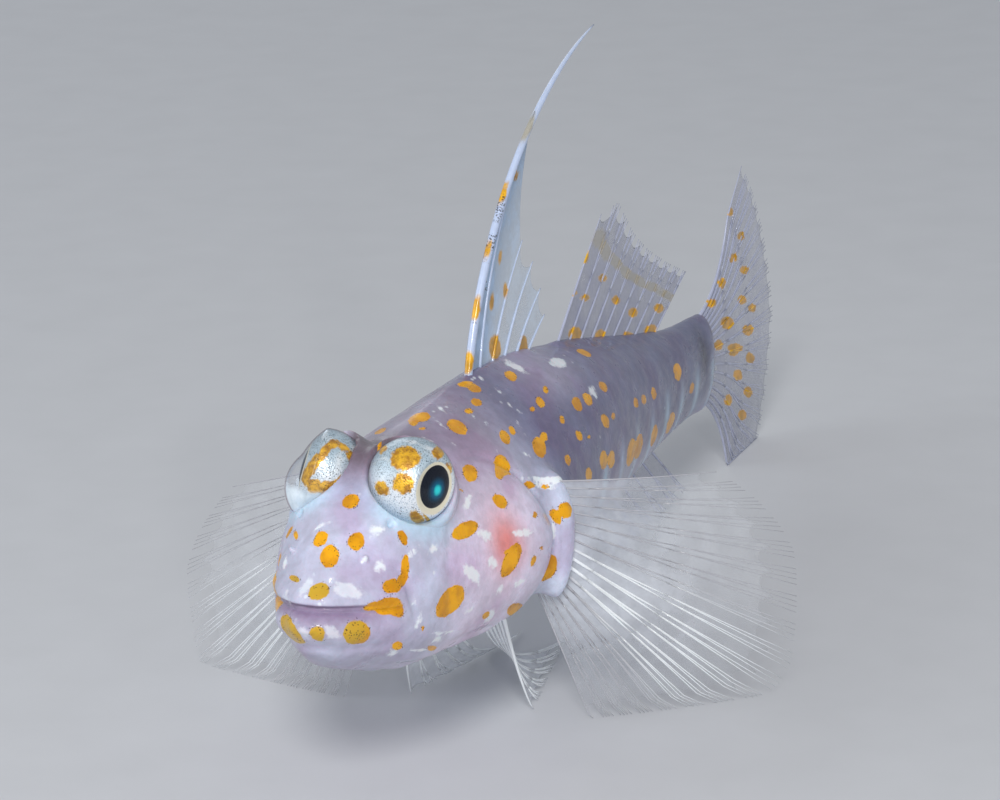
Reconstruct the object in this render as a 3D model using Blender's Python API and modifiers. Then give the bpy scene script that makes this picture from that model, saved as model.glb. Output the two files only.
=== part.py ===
# Inner-spotted sand goby, an adult male about 72 mm long, propped on its fins on the sea floor
# The fish faces -Y, its left side is +X, and the floor is at zero height

import math

import bmesh
import bpy
import numpy as np
from mathutils import Matrix, Vector

NAME = "inner_spotted_sand_goby"

# All sizes are in millimetres and are made metres when a mesh is placed
MM = 0.001

# How the body stands: s runs back from the snout, x to the fish's left, z up from the body axis
# The middle values bring the middle of the whole part's outline to the origin
PITCH = math.radians(5.0)
AXIS_HEIGHT = 12.0
PIVOT = 18.5
MIDDLE_X = -0.71
MIDDLE_Y = 35.12
BODY_LENGTH = 58.0
GAP = 0.3

# Body stations: distance from the snout, top, bottom, half width
STATIONS = (
    (-0.35, -1.3, -2.3, 0.6),
    (0.0, -0.8, -2.7, 1.2),
    (0.8, 0.3, -3.7, 2.25),
    (2.2, 1.8, -4.7, 3.1),
    (4.2, 3.4, -5.35, 3.95),
    (7.0, 4.8, -6.0, 4.75),
    (11.0, 5.8, -6.2, 5.6),
    (15.5, 6.4, -6.2, 6.3),
    (18.5, 6.6, -6.0, 6.2),
    (24.0, 6.4, -5.8, 5.2),
    (32.0, 5.8, -5.2, 4.2),
    (40.0, 4.9, -4.3, 3.1),
    (48.0, 3.9, -3.5, 2.1),
    (54.0, 3.4, -3.2, 1.45),
    (58.5, 3.5, -3.4, 1.0),
)
WIDEST_LEVEL = ((-0.35, -1.8), (7.0, -1.6), (16.0, -0.8), (26.0, 0.2), (58.5, 0.1))
HEAD_POWER = 2.25
TAIL_POWER = 2.05

# Where the body is parted into nodes
HEAD_END = 17.6
TRUNK_END = 43.0
HEAD_RINGS = 22
TRUNK_RINGS = 12
STALK_RINGS = 8
HEAD_AROUND = 44
TRUNK_AROUND = 36
STALK_AROUND = 28

# Mouth and lips
MOUTH_LEVEL = -1.3
MOUTH_SLOPE = -0.1
MOUTH_CENTRE = 3.6
MOUTH_SWING = math.radians(84.0)
LIP_RADIUS = 0.5
LIP_OFFSET = 0.45
LIP_STEPS = 17
JAW_CORNER = 3.4
JAW_HEEL = 7.6

# Gill covers
GILL_CENTRE = (12.3, -1.2)
GILL_RADII = (4.3, 4.9)
GILL_INNER = 3.7
GILL_OUTER = 9.0

# Eyes: centre, ball and cornea radii, and where each one looks (1 is left, -1 is right)
EYE_CENTRE = (7.1, 2.38, 3.95)
EYE_RADIUS = 2.2
CORNEA_RADIUS = 1.9
CORNEA_OFFSET = 0.62
EYE_AXES = {1: (0.877, -0.481, 0.038), -1: (-0.955, -0.25, -0.04)}
MOUND_CENTRE = (7.2, 2.1, 3.3)
MOUND_RADIUS = 2.65
SEPTUM_HALF = 0.11

# Nostrils: a short tube in front and a small pit behind it
NOSTRIL = (2.5, 1.6)
NOSTRIL_RADIUS = 0.3
NOSTRIL_LENGTH = 0.55
PIT = (3.2, 2.0)
PIT_RADIUS = 0.25

# Fins
MEMBRANE = 0.5
RAY = 0.8
ROOT = 1.0
TIP = 0.36
SINK = 0.7

# First dorsal fin: six spines, the first drawn out into a long filament
FIRST_DORSAL_BASE = (20.0, 28.0)
FIRST_DORSAL_LENGTHS = (15.2, 15.5, 7.6, 6.4, 4.9, 3.2)
FIRST_DORSAL_LEANS = (14.0, 9.5, 24.0, 32.0, 42.0, 52.0)
FILAMENT_LENGTH = 26.0
FILAMENT_RADIUS = 0.42
FILAMENT_TIP = 0.2
LEAN_GAIN = 62.0
LEAN_SPAN = 24.0
LEAN_POWER = 0.75

# Second dorsal fin: one spine and nine rays
SECOND_DORSAL_BASE = (32.5, 48.0)
SECOND_DORSAL_RAYS = 10
SECOND_DORSAL_LEAN = (50.0, 66.0)
SECOND_DORSAL_LENGTH = (10.0, 4.2)

# Anal fin: one spine and eight rays
ANAL_BASE = (33.0, 47.0)
ANAL_RAYS = 9
ANAL_LEAN = (38.0, 50.0)
ANAL_LENGTH = (8.1, 10.0)

# Tail fin
CAUDAL_BASE = 57.0
CAUDAL_RAYS = 17
CAUDAL_FAN = (47.0, -46.0)
CAUDAL_LENGTH = (11.2, 14.3, 12.4)
CAUDAL_ROOT_HALF = 2.9

# Pectoral fins: eighteen rays from near level to almost straight down
PECTORAL_RAYS = 18
PECTORAL_TOP = (17.9, 5.6, 1.7)
PECTORAL_LOW = (18.6, 4.6, -4.6)
PECTORAL_SWEEP = {1: math.radians(30.0), -1: math.radians(6.0)}
PECTORAL_FAN = {1: (3.0, -68.0), -1: (-13.0, -72.0)}
PECTORAL_LENGTH = (12.5, 16.5, 11.0)
PECTORAL_CUP = 0.16

# Pelvic fins: a spine and five rays that reach the floor and trail back along it
PELVIC_RAYS = 6
PELVIC_FRONT = (17.6, 2.9, -5.2)
PELVIC_BACK = (19.4, 0.7, -5.4)
PELVIC_TIP_FRONT = (20.5, 3.6)
PELVIC_TIP_BACK = (31.0, 1.4)


def removeEverything():
    for obj in list(bpy.data.objects):
        bpy.data.objects.remove(obj, do_unlink=True)


def newCollection(name, hidden=False):
    made = bpy.data.collections.new(name)
    bpy.context.scene.collection.children.link(made)
    made.hide_render = hidden
    return made


def newMaterial(name, colour, roughness, metallic=0.0):
    made = bpy.data.materials.new(name)
    made.use_nodes = True
    shader = made.node_tree.nodes["Principled BSDF"]
    shader.inputs["Base Color"].default_value = (*colour, 1.0)
    shader.inputs["Roughness"].default_value = roughness
    shader.inputs["Metallic"].default_value = metallic
    made.diffuse_color = (*colour, 1.0)
    return made


# Fish measures to the model's metres
def place(s, x, z):
    y = s * math.cos(PITCH) + z * math.sin(PITCH) - MIDDLE_Y
    up = AXIS_HEIGHT + z * math.cos(PITCH) - (s - PIVOT) * math.sin(PITCH)
    return Vector((x - MIDDLE_X, y, up)) * MM


def floorLevel(s):
    return ((s - PIVOT) * math.sin(PITCH) - AXIS_HEIGHT) / math.cos(PITCH)


# A smooth curve through table values that never overshoots them
def smoothValue(where, xs, ys):
    xs, ys = np.asarray(xs, float), np.asarray(ys, float)
    step = np.diff(xs)
    slope = np.diff(ys) / step
    tangent = np.zeros(len(xs))
    tangent[0], tangent[-1] = slope[0], slope[-1]
    for i in range(1, len(xs) - 1):
        if slope[i - 1] * slope[i] > 0:
            before, after = 2 * step[i] + step[i - 1], step[i] + 2 * step[i - 1]
            tangent[i] = (before + after) / (before / slope[i - 1] + after / slope[i])
    where = min(max(where, xs[0]), xs[-1])
    i = min(int(np.searchsorted(xs, where, side="right")) - 1, len(xs) - 2)
    t = (where - xs[i]) / step[i]
    rise = ys[i] * (1 + 2 * t) * (1 - t) ** 2 + ys[i + 1] * t * t * (3 - 2 * t)
    return rise + step[i] * (tangent[i] * t * (1 - t) ** 2 - tangent[i + 1] * t * t * (1 - t))


def bodySection(s, grow=0.0):
    columns = list(zip(*STATIONS))
    top, bottom, half = (smoothValue(s, columns[0], columns[i]) for i in (1, 2, 3))
    levels = list(zip(*WIDEST_LEVEL))
    level = smoothValue(s, levels[0], levels[1])
    power = HEAD_POWER + (TAIL_POWER - HEAD_POWER) * min(max(s / BODY_LENGTH, 0), 1)
    return top + grow, bottom - grow, half + grow, level, power


def bodyPoint(s, angle, grow=0.0):
    top, bottom, half, level, power = bodySection(s, grow)
    c, q = math.cos(angle), math.sin(angle)
    reach = top - level if q > 0 else level - bottom
    x = half * math.copysign(abs(c) ** (2 / power), c)
    return x, level + reach * math.copysign(abs(q) ** (2 / power), q)


def insideBody(s, x, z):
    if s < STATIONS[0][0]:
        return False
    top, bottom, half, level, power = bodySection(s)
    reach = top - level if z > level else level - bottom
    return (abs(x) / half) ** power + (abs(z - level) / reach) ** power < 1


# Where a line from inside the body leaves it
def bodySurface(origin, direction, far=12.0):
    start, way = Vector(origin), Vector(direction).normalized()
    near = 0.0
    for _ in range(30):
        middle = (near + far) / 2
        if insideBody(*(start + way * middle)):
            near = middle
        else:
            far = middle
    return start + way * near


def spread(first, last, count, power=1.0):
    return [first + (last - first) * (i / (count - 1)) ** power for i in range(count)]


def blend(a, b, t):
    return a + (b - a) * t


def threeBlend(values, t):
    first, middle, last = values
    return blend(first, middle, t * 2) if t < 0.5 else blend(middle, last, t * 2 - 1)


def finish(name, mesh, collection, material=None, smooth=True):
    bmesh.ops.recalc_face_normals(mesh, faces=mesh.faces)
    data = bpy.data.meshes.new(name)
    mesh.to_mesh(data)
    mesh.free()
    for face in data.polygons:
        face.use_smooth = smooth
    obj = bpy.data.objects.new(name, data)
    if material:
        data.materials.append(material)
    collection.objects.link(obj)
    if collection.hide_render:
        obj.display_type = "WIRE"
    return obj


def bodyLoft(name, first, last, rings, around, collection, grow=0.0, power=1.0):
    mesh = bmesh.new()
    loops = []
    for s in spread(first, last, rings, power):
        loop = []
        for i in range(around):
            x, z = bodyPoint(s, 2 * math.pi * i / around, grow)
            loop.append(mesh.verts.new(place(s, x, z)))
        loops.append(loop)
    for near, far in zip(loops, loops[1:]):
        for i in range(around):
            j = (i + 1) % around
            mesh.faces.new((near[i], near[j], far[j], far[i]))
    mesh.faces.new(loops[0])
    mesh.faces.new(loops[-1])
    return finish(name, mesh, collection)


def ball(name, centre, radius, collection, segments=24, rings=16, way=None):
    mesh = bmesh.new()
    turn = Vector(way).to_track_quat("Z", "Y").to_matrix().to_4x4() if way else Matrix()
    bmesh.ops.create_uvsphere(
        mesh,
        u_segments=segments,
        v_segments=rings,
        radius=radius * MM,
        matrix=Matrix.Translation(place(*centre)) @ turn,
    )
    return finish(name, mesh, collection)


def tube(name, start, end, widths, collection, segments=12):
    mesh = bmesh.new()
    a, b = place(*start), place(*end)
    turn = (b - a).to_track_quat("Z", "Y").to_matrix().to_4x4()
    bmesh.ops.create_cone(
        mesh,
        cap_ends=True,
        segments=segments,
        radius1=widths[0] * MM,
        radius2=widths[1] * MM,
        depth=(b - a).length,
        matrix=Matrix.Translation((a + b) / 2) @ turn,
    )
    return finish(name, mesh, collection)


# A flat outline in side view, given as s and z, drawn out sideways
def slab(name, outline, low, high, collection):
    mesh = bmesh.new()
    face = mesh.faces.new([mesh.verts.new(place(s, low, z)) for s, z in outline])
    drawn = bmesh.ops.extrude_face_region(mesh, geom=[face])
    moved = [v for v in drawn["geom"] if isinstance(v, bmesh.types.BMVert)]
    bmesh.ops.translate(mesh, verts=moved, vec=Vector(((high - low) * MM, 0, 0)))
    return finish(name, mesh, collection, smooth=False)


def sweptCurve(name, points, radii, collection, sides=2):
    data = bpy.data.curves.new(name, "CURVE")
    data.dimensions = "3D"
    data.bevel_depth = MM
    data.bevel_resolution = sides
    data.use_fill_caps = True
    line = data.splines.new("POLY")
    line.points.add(len(points) - 1)
    for spot, point, radius in zip(line.points, points, radii):
        spot.co = (*point, 1.0)
        spot.radius = radius
    drawn = bpy.data.objects.new(name + "_curve", data)
    collection.objects.link(drawn)
    bpy.context.view_layer.update()
    seen = drawn.evaluated_get(bpy.context.evaluated_depsgraph_get())
    mesh = bmesh.new()
    mesh.from_mesh(bpy.data.meshes.new_from_object(seen))
    bmesh.ops.remove_doubles(mesh, verts=mesh.verts, dist=1e-6)
    bpy.data.objects.remove(drawn, do_unlink=True)
    return finish(name, mesh, collection)


# One Boolean with a whole collection of closed meshes, applied at once
def combine(obj, operation, tools):
    group = bpy.data.collections.new(obj.name + "_tools")
    bpy.context.scene.collection.children.link(group)
    for tool in tools:
        for owner in list(tool.users_collection):
            owner.objects.unlink(tool)
        group.objects.link(tool)
    step = obj.modifiers.new(operation, "BOOLEAN")
    step.operation = operation
    step.solver = "EXACT"
    step.operand_type = "COLLECTION"
    step.collection = group
    applyModifiers(obj)
    for tool in tools:
        bpy.data.objects.remove(tool, do_unlink=True)
    bpy.data.collections.remove(group)
    return obj


def applyModifiers(obj):
    bpy.context.view_layer.update()
    seen = obj.evaluated_get(bpy.context.evaluated_depsgraph_get())
    made = bpy.data.meshes.new_from_object(seen)
    old = obj.data
    obj.modifiers.clear()
    obj.data = made
    bpy.data.meshes.remove(old)


# Booleans can leave crumbs, so only the piece with the most volume stays
def keepLargest(obj):
    mesh = bmesh.new()
    mesh.from_mesh(obj.data)
    bmesh.ops.remove_doubles(mesh, verts=mesh.verts, dist=2e-6)
    bmesh.ops.dissolve_degenerate(mesh, edges=mesh.edges, dist=2e-6)
    left = set(mesh.verts)
    islands = []
    while left:
        island, queue = set(), [left.pop()]
        while queue:
            vert = queue.pop()
            island.add(vert)
            for edge in vert.link_edges:
                other = edge.other_vert(vert)
                if other in left:
                    left.remove(other)
                    queue.append(other)
        islands.append(island)

    def size(island):
        spots = [v.co for v in island]
        return math.prod(max(c[i] for c in spots) - min(c[i] for c in spots) for i in range(3))

    islands.sort(key=size)
    for island in islands[:-1]:
        bmesh.ops.delete(mesh, geom=list(island), context="VERTS")
    bmesh.ops.triangulate(mesh, faces=mesh.faces)
    bmesh.ops.recalc_face_normals(mesh, faces=mesh.faces)
    mesh.to_mesh(obj.data)
    mesh.free()
    for face in obj.data.polygons:
        face.use_smooth = True


# A fin is one sheet: its columns follow the rays, thick on each ray and thin between
def finSheet(name, rays, rows, between, notch, thickness, collection, material):
    count = len(rays)
    columns = (count - 1) * (between + 1)
    mesh = bmesh.new()
    bmesh.ops.create_grid(mesh, x_segments=columns, y_segments=rows, size=0.5)
    layer = mesh.verts.layers.deform.verify()
    thickest = max(thickness(u, v, True) for u in (0, 0.5, 1) for v in (0, 0.5, 1))
    for vert in mesh.verts:
        column = round((vert.co.x + 0.5) * columns)
        v = vert.co.y + 0.5
        ray, part = divmod(column, between + 1)
        part /= between + 1
        reach = 1 - notch * math.sin(math.pi * part)
        here = rays[ray](v * reach)
        if part:
            here = here.lerp(rays[ray + 1](v * reach), part)
        vert.co = here
        vert[layer][0] = thickness(column / columns, v, not part) / thickest
    bmesh.ops.triangulate(mesh, faces=mesh.faces)
    obj = finish(name, mesh, collection, material)
    obj.vertex_groups.new(name="thickness")
    step = obj.modifiers.new("thickness", "SOLIDIFY")
    step.thickness = thickest * MM
    step.offset = 0.0
    step.vertex_group = "thickness"
    applyModifiers(obj)
    return obj


def finThickness(root=ROOT, ray=RAY, membrane=MEMBRANE, tip=TIP, rootEnd=0.2):
    def thickness(u, v, onRay):
        body = ray if onRay else membrane
        body = blend(body, tip, v**3)
        return blend(root, body, min(v / rootEnd, 1))

    return thickness


# A path that leans further back the longer it gets, as arc lengths to points
def leaningPath(base, length, lean, gain=LEAN_GAIN, span=LEAN_SPAN, power=LEAN_POWER, down=False):
    steps = 40
    spots = [base.copy()]
    for i in range(steps):
        along = (i + 0.5) / steps * length
        angle = math.radians(lean + gain * (along / span) ** power)
        rise = -math.cos(angle) if down else math.cos(angle)
        spots.append(spots[-1] + Vector((0, math.sin(angle), rise)) * (length / steps * MM))

    def path(t):
        at = min(max(t, 0.0), 1.0) * steps
        i = min(int(at), steps - 1)
        return spots[i].lerp(spots[i + 1], at - i)

    return path


def firstDorsalRays():
    rays = []
    bases = spread(*FIRST_DORSAL_BASE, len(FIRST_DORSAL_LENGTHS))
    for s, length, lean in zip(bases, FIRST_DORSAL_LENGTHS, FIRST_DORSAL_LEANS):
        base = place(s, 0, bodySection(s)[0] - SINK)
        rays.append(leaningPath(base, length + SINK, lean))
    return rays


def secondDorsalRays():
    rays = []
    for i in range(SECOND_DORSAL_RAYS):
        t = i / (SECOND_DORSAL_RAYS - 1)
        s = blend(*SECOND_DORSAL_BASE, t)
        base = place(s, 0, bodySection(s)[0] - SINK)
        length = blend(*SECOND_DORSAL_LENGTH, t**0.75) * (0.84 if i == 0 else 1)
        rays.append(leaningPath(base, length + SINK, blend(*SECOND_DORSAL_LEAN, t), gain=8))
    return rays


def analRays():
    rays = []
    for i in range(ANAL_RAYS):
        t = i / (ANAL_RAYS - 1)
        s = blend(*ANAL_BASE, t)
        base = place(s, 0, bodySection(s)[1] + SINK)
        length = blend(*ANAL_LENGTH, t) * (0.7 if i == 0 else 1)
        rays.append(leaningPath(base, length + SINK, blend(*ANAL_LEAN, t), gain=10, down=True))
    return rays


def caudalRays():
    rays = []
    for i in range(CAUDAL_RAYS):
        t = i / (CAUDAL_RAYS - 1)
        angle = math.radians(blend(*CAUDAL_FAN, t))
        length = threeBlend(CAUDAL_LENGTH, t)
        rootHeight = CAUDAL_ROOT_HALF * (1 - 2 * t)
        start = (CAUDAL_BASE, 0, rootHeight)

        def ray(v, start=start, angle=angle, length=length):
            s, x, z = start
            bend = angle * min(0.35 + v, 1)
            return place(s + length * v * math.cos(bend), x, z + length * v * math.sin(bend))

        rays.append(ray)
    return rays


def pectoralRays(side):
    rays = []
    for i in range(PECTORAL_RAYS):
        t = i / (PECTORAL_RAYS - 1)
        base = Vector(PECTORAL_TOP).lerp(Vector(PECTORAL_LOW), t)
        angle = math.radians(blend(*PECTORAL_FAN[side], t))
        length = threeBlend(PECTORAL_LENGTH, t)

        def ray(v, base=base, angle=angle, length=length):
            out = length * v
            back = PECTORAL_SWEEP[side] + PECTORAL_CUP * v
            s = base.x + out * math.cos(angle) * math.sin(back)
            x = base.y + out * math.cos(angle) * math.cos(back)
            z = base.z + out * math.sin(angle)
            return place(s, side * x, z)

        rays.append(ray)
    return rays


def pelvicRays(side):
    rays = []
    for i in range(PELVIC_RAYS):
        t = i / (PELVIC_RAYS - 1)
        base = Vector(PELVIC_FRONT).lerp(Vector(PELVIC_BACK), t)
        tip = [blend(a, b, t**1.1) for a, b in zip(PELVIC_TIP_FRONT, PELVIC_TIP_BACK)]
        floor = floorLevel(tip[0]) + TIP * 0.3

        def ray(v, base=base, tip=tip, floor=floor, bow=blend(0.15, 0.75, t)):
            level = v * (1 - bow) + bow * v * v
            s = blend(base.x, tip[0], level)
            x = blend(base.y, tip[1], v)
            drop = 1 - (1 - v) ** (1 + 1.4 * bow)
            return place(s, side * x, blend(base.z, floor, drop))

        rays.append(ray)
    return rays


def mouthSpot(angle, offset):
    z = MOUTH_LEVEL
    for _ in range(6):
        way = (-math.cos(angle), math.sin(angle), 0)
        spot = bodySurface((MOUTH_CENTRE, 0, z + offset), way)
        z = MOUTH_LEVEL + MOUTH_SLOPE * spot.x
    return spot


def lip(name, side, collection):
    points, radii = [], []
    for i in range(LIP_STEPS):
        t = 2 * i / (LIP_STEPS - 1) - 1
        spot = mouthSpot(MOUTH_SWING * t, side * LIP_OFFSET)
        inward = Vector((MOUTH_CENTRE - spot.x, -spot.y, 0)).normalized() * 0.2
        points.append(place(*(spot + inward)))
        radii.append(LIP_RADIUS * (1 - 0.45 * t * t))
    return sweptCurve(name, points, radii, collection)


def jawOutline(gap):
    rise = gap / math.cos(math.atan(MOUTH_SLOPE))
    return (
        (-3.0, MOUTH_LEVEL - 3.0 * MOUTH_SLOPE + rise),
        (JAW_CORNER + gap, MOUTH_LEVEL + MOUTH_SLOPE * (JAW_CORNER + gap) + rise),
        (JAW_HEEL + gap * 1.3, -8.5),
        (-3.0, -8.5),
    )


def gillOutline(gap, steps=28):
    spots = []
    for i in range(steps):
        angle = 2 * math.pi * i / steps
        s = GILL_CENTRE[0] + (GILL_RADII[0] + gap) * math.cos(angle)
        spots.append((s, GILL_CENTRE[1] + (GILL_RADII[1] + gap) * math.sin(angle)))
    return spots


def gillSlab(name, side, gap, collection):
    inner = GILL_INNER - gap
    low, high = (inner, GILL_OUTER) if side > 0 else (-GILL_OUTER, -inner)
    return slab(name, gillOutline(gap), low, high, collection)


def socket(name, side, collection):
    s, x, z = EYE_CENTRE
    tool = ball(name, (s, side * x, z), EYE_RADIUS + GAP, collection, 24, 16)
    mesh = bmesh.new()
    mesh.from_mesh(tool.data)
    cut = bmesh.ops.bisect_plane(
        mesh,
        geom=mesh.verts[:] + mesh.edges[:] + mesh.faces[:],
        plane_co=place(0, side * SEPTUM_HALF, 0),
        plane_no=(-side, 0, 0),
        clear_outer=True,
    )
    rim = [e for e in cut["geom_cut"] if isinstance(e, bmesh.types.BMEdge)]
    bmesh.ops.holes_fill(mesh, edges=rim)
    mesh.to_mesh(tool.data)
    mesh.free()
    return tool


def makeHead(model, cutters, material):
    head = bodyLoft(
        "head", STATIONS[0][0], HEAD_END, HEAD_RINGS, HEAD_AROUND, model, power=1.35
    )
    head.data.materials.append(material)
    added = [lip("upper_lip", 1, cutters)]
    removed = [slab("jaw_space", jawOutline(GAP), -9.0, 9.0, cutters)]
    pits = []
    for side in (1, -1):
        s, x, z = MOUND_CENTRE
        added.append(ball("mound", (s, side * x, z), MOUND_RADIUS, cutters, 24, 16))
        way = Vector((-0.35, side * 0.35, 0.87))
        foot = bodySurface((NOSTRIL[0] + 1.0, side * (NOSTRIL[1] - 1.0), 0), way)
        foot -= way * 0.3
        top = foot + way * (NOSTRIL_LENGTH + 0.3)
        widths = (NOSTRIL_RADIUS, NOSTRIL_RADIUS * 0.75)
        added.append(tube("nostril", foot, top, widths, cutters))
        pit = bodySurface((PIT[0] + 0.5, side * (PIT[1] - 0.8), 0.5), (-0.2, side * 0.4, 0.9))
        pits.append(ball("pit", pit, PIT_RADIUS, cutters, 12, 8, (side * 0.3, -0.2, 0.9)))
        removed.append(gillSlab("gill_space", side, GAP, cutters))
        removed.append(socket("socket", side, cutters))
        removed.append(corneaBall(side, GAP, cutters))
    combine(head, "UNION", added)
    combine(head, "DIFFERENCE", pits)
    combine(head, "DIFFERENCE", removed)
    keepLargest(head)
    return head


def makeJaw(model, cutters, material):
    jaw = bodyLoft(
        "lower_jaw", STATIONS[0][0], HEAD_END, HEAD_RINGS, HEAD_AROUND, model, power=1.35
    )
    jaw.data.materials.append(material)
    combine(jaw, "UNION", [lip("lower_lip", -1, cutters)])
    combine(jaw, "INTERSECT", [slab("jaw_shape", jawOutline(0.0), -9.0, 9.0, cutters)])
    keepLargest(jaw)
    return jaw


def makeGill(name, side, model, cutters, material):
    gill = bodyLoft(
        name, STATIONS[0][0], HEAD_END, HEAD_RINGS, HEAD_AROUND, model, power=1.35
    )
    gill.data.materials.append(material)
    combine(gill, "INTERSECT", [gillSlab("gill_shape", side, 0.0, cutters)])
    keepLargest(gill)
    return gill


# The clear front of an eye, a smaller ball set forward along the way the eye looks
def corneaBall(side, grow, collection):
    way = Vector(EYE_AXES[side]).normalized()
    s, x, z = EYE_CENTRE
    front = ball("cornea", (s, side * x, z), CORNEA_RADIUS + grow, collection, 22, 14, way)
    front.data.transform(Matrix.Translation(way * CORNEA_OFFSET * MM))
    return front


def makeEye(name, side, model, cutters, material):
    s, x, z = EYE_CENTRE
    way = Vector(EYE_AXES[side])
    eye = ball(name, (s, side * x, z), EYE_RADIUS, model, 22, 14, way)
    eye.data.materials.append(material)
    combine(eye, "UNION", [corneaBall(side, 0.0, cutters)])
    keepLargest(eye)
    return eye


# Takes the body, grown by the gap, out of a fin, and cuts away what is under the floor
def trimFin(fin, cutters):
    tools = [
        bodyLoft(
            "body_space",
            STATIONS[0][0],
            BODY_LENGTH + GAP,
            40,
            HEAD_AROUND,
            cutters,
            grow=GAP,
        )
    ]
    if min(v.co.z for v in fin.data.vertices) < 0:
        mesh = bmesh.new()
        bmesh.ops.create_cube(mesh, size=1.0, matrix=Matrix.Translation((0, 0, -0.5)))
        tools.append(finish("under_floor", mesh, cutters, smooth=False))
    combine(fin, "DIFFERENCE", tools)
    keepLargest(fin)
    return fin


def makeFilament(model, material):
    path = leaningPath(
        place(FIRST_DORSAL_BASE[0], 0, bodySection(FIRST_DORSAL_BASE[0])[0] - SINK),
        FILAMENT_LENGTH + SINK,
        FIRST_DORSAL_LEANS[0],
    )
    first = (FIRST_DORSAL_LENGTHS[1] + SINK + 0.9) / (FILAMENT_LENGTH + SINK)
    steps = 12
    points = [path(t) for t in spread(first, 1.0, steps)]
    radii = [blend(FILAMENT_RADIUS, FILAMENT_TIP, i / (steps - 1)) for i in range(steps)]
    obj = sweptCurve("first_dorsal_filament", points, radii, model)
    obj.data.materials.append(material)
    keepLargest(obj)
    return obj


def main():
    removeEverything()
    model = newCollection(NAME)
    cutters = newCollection("cutters", hidden=True)

    headSkin = newMaterial("head_skin", (0.72, 0.62, 0.70), 0.3)
    jawSkin = newMaterial("jaw_skin", (0.80, 0.74, 0.78), 0.3)
    gillSkin = newMaterial("gill_cover_skin", (0.76, 0.62, 0.68), 0.25)
    trunkSkin = newMaterial("trunk_skin", (0.56, 0.50, 0.60), 0.3)
    stalkSkin = newMaterial("tail_stalk_skin", (0.50, 0.46, 0.58), 0.3)
    eyeGlass = newMaterial("eye", (0.70, 0.74, 0.72), 0.05, 0.2)
    spined = newMaterial("spined_fin", (0.74, 0.76, 0.82), 0.35)
    clear = newMaterial("clear_fin", (0.82, 0.84, 0.88), 0.35)

    makeHead(model, cutters, headSkin)
    makeJaw(model, cutters, jawSkin)
    trunk = bodyLoft("trunk", HEAD_END + GAP, TRUNK_END, TRUNK_RINGS, TRUNK_AROUND, model)
    trunk.data.materials.append(trunkSkin)
    stalk = bodyLoft(
        "tail_stalk", TRUNK_END + GAP, BODY_LENGTH, STALK_RINGS, STALK_AROUND, model
    )
    stalk.data.materials.append(stalkSkin)
    for obj in (trunk, stalk):
        keepLargest(obj)

    for word, side in (("left", 1), ("right", -1)):
        makeGill("gill_cover_" + word, side, model, cutters, gillSkin)
        makeEye("eye_" + word, side, model, cutters, eyeGlass)
        lobe = finThickness(root=1.6, rootEnd=0.3, ray=0.75)
        pectoral = finSheet(
            "pectoral_fin_" + word, pectoralRays(side), 7, 1, 0.06, lobe, model, clear
        )
        trimFin(pectoral, cutters)
        pelvic = finSheet(
            "pelvic_fin_" + word, pelvicRays(side), 9, 1, 0.1, finThickness(), model, clear
        )
        trimFin(pelvic, cutters)

    dorsal = finSheet(
        "first_dorsal_fin", firstDorsalRays(), 9, 1, 0.12, finThickness(), model, spined
    )
    trimFin(dorsal, cutters)
    makeFilament(model, spined)
    second = finSheet(
        "second_dorsal_fin", secondDorsalRays(), 7, 2, 0.08, finThickness(), model, clear
    )
    trimFin(second, cutters)
    anal = finSheet("anal_fin", analRays(), 7, 2, 0.08, finThickness(), model, clear)
    trimFin(anal, cutters)
    caudal = finSheet("caudal_fin", caudalRays(), 7, 1, 0.04, finThickness(), model, clear)
    trimFin(caudal, cutters)


main()
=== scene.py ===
import math

import bmesh
import bpy
import numpy as np
from mathutils import Matrix, Vector


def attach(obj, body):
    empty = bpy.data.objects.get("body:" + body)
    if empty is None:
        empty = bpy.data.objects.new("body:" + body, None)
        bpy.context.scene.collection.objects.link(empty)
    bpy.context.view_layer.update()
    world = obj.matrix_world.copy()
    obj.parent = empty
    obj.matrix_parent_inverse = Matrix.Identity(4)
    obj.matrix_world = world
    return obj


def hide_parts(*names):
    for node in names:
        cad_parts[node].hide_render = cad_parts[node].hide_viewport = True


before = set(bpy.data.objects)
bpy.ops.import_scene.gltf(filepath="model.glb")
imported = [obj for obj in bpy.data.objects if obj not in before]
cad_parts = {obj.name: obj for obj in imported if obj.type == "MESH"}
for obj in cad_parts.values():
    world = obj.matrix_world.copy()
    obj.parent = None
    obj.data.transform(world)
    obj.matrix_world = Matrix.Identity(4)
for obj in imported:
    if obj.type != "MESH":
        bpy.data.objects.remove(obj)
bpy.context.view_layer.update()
print("frame loaded")

# Fish measures, in mm: s back from the snout, x to the fish's left, z up from the body axis.
stance = {"pitch": 5.0, "axisHeight": 12.0, "pivot": 18.5, "middleX": -0.71, "middleY": 35.12}


def placeAll(s, x, z):  # fish measures to the model's metres
    c, q = math.cos(math.radians(stance["pitch"])), math.sin(math.radians(stance["pitch"]))
    y = s * c + z * q - stance["middleY"]
    up = stance["axisHeight"] + z * c - (s - stance["pivot"]) * q
    return np.stack([x - stance["middleX"] + 0 * y, y, up], axis=-1) * 0.001


def place(s, x, z):
    return Vector(placeAll(np.float64(s), np.float64(x), np.float64(z)))


def fishAll(spots):  # the model's metres back to fish measures
    c, q = math.cos(math.radians(stance["pitch"])), math.sin(math.radians(stance["pitch"]))
    spots = np.asarray(spots) * 1000
    y, up = spots[:, 1] + stance["middleY"], spots[:, 2] - stance["axisHeight"] - stance["pivot"] * q
    return np.stack([y * c - up * q, spots[:, 0] + stance["middleX"], y * q + up * c], axis=-1)


# ---- camera ----
view = {"azimuth": 23.0, "elevation": 17.5, "distance": 0.2, "lens": 138.96,
        "aim": (15.6, 3.7, 6.4), "roll": -2.1}


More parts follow.
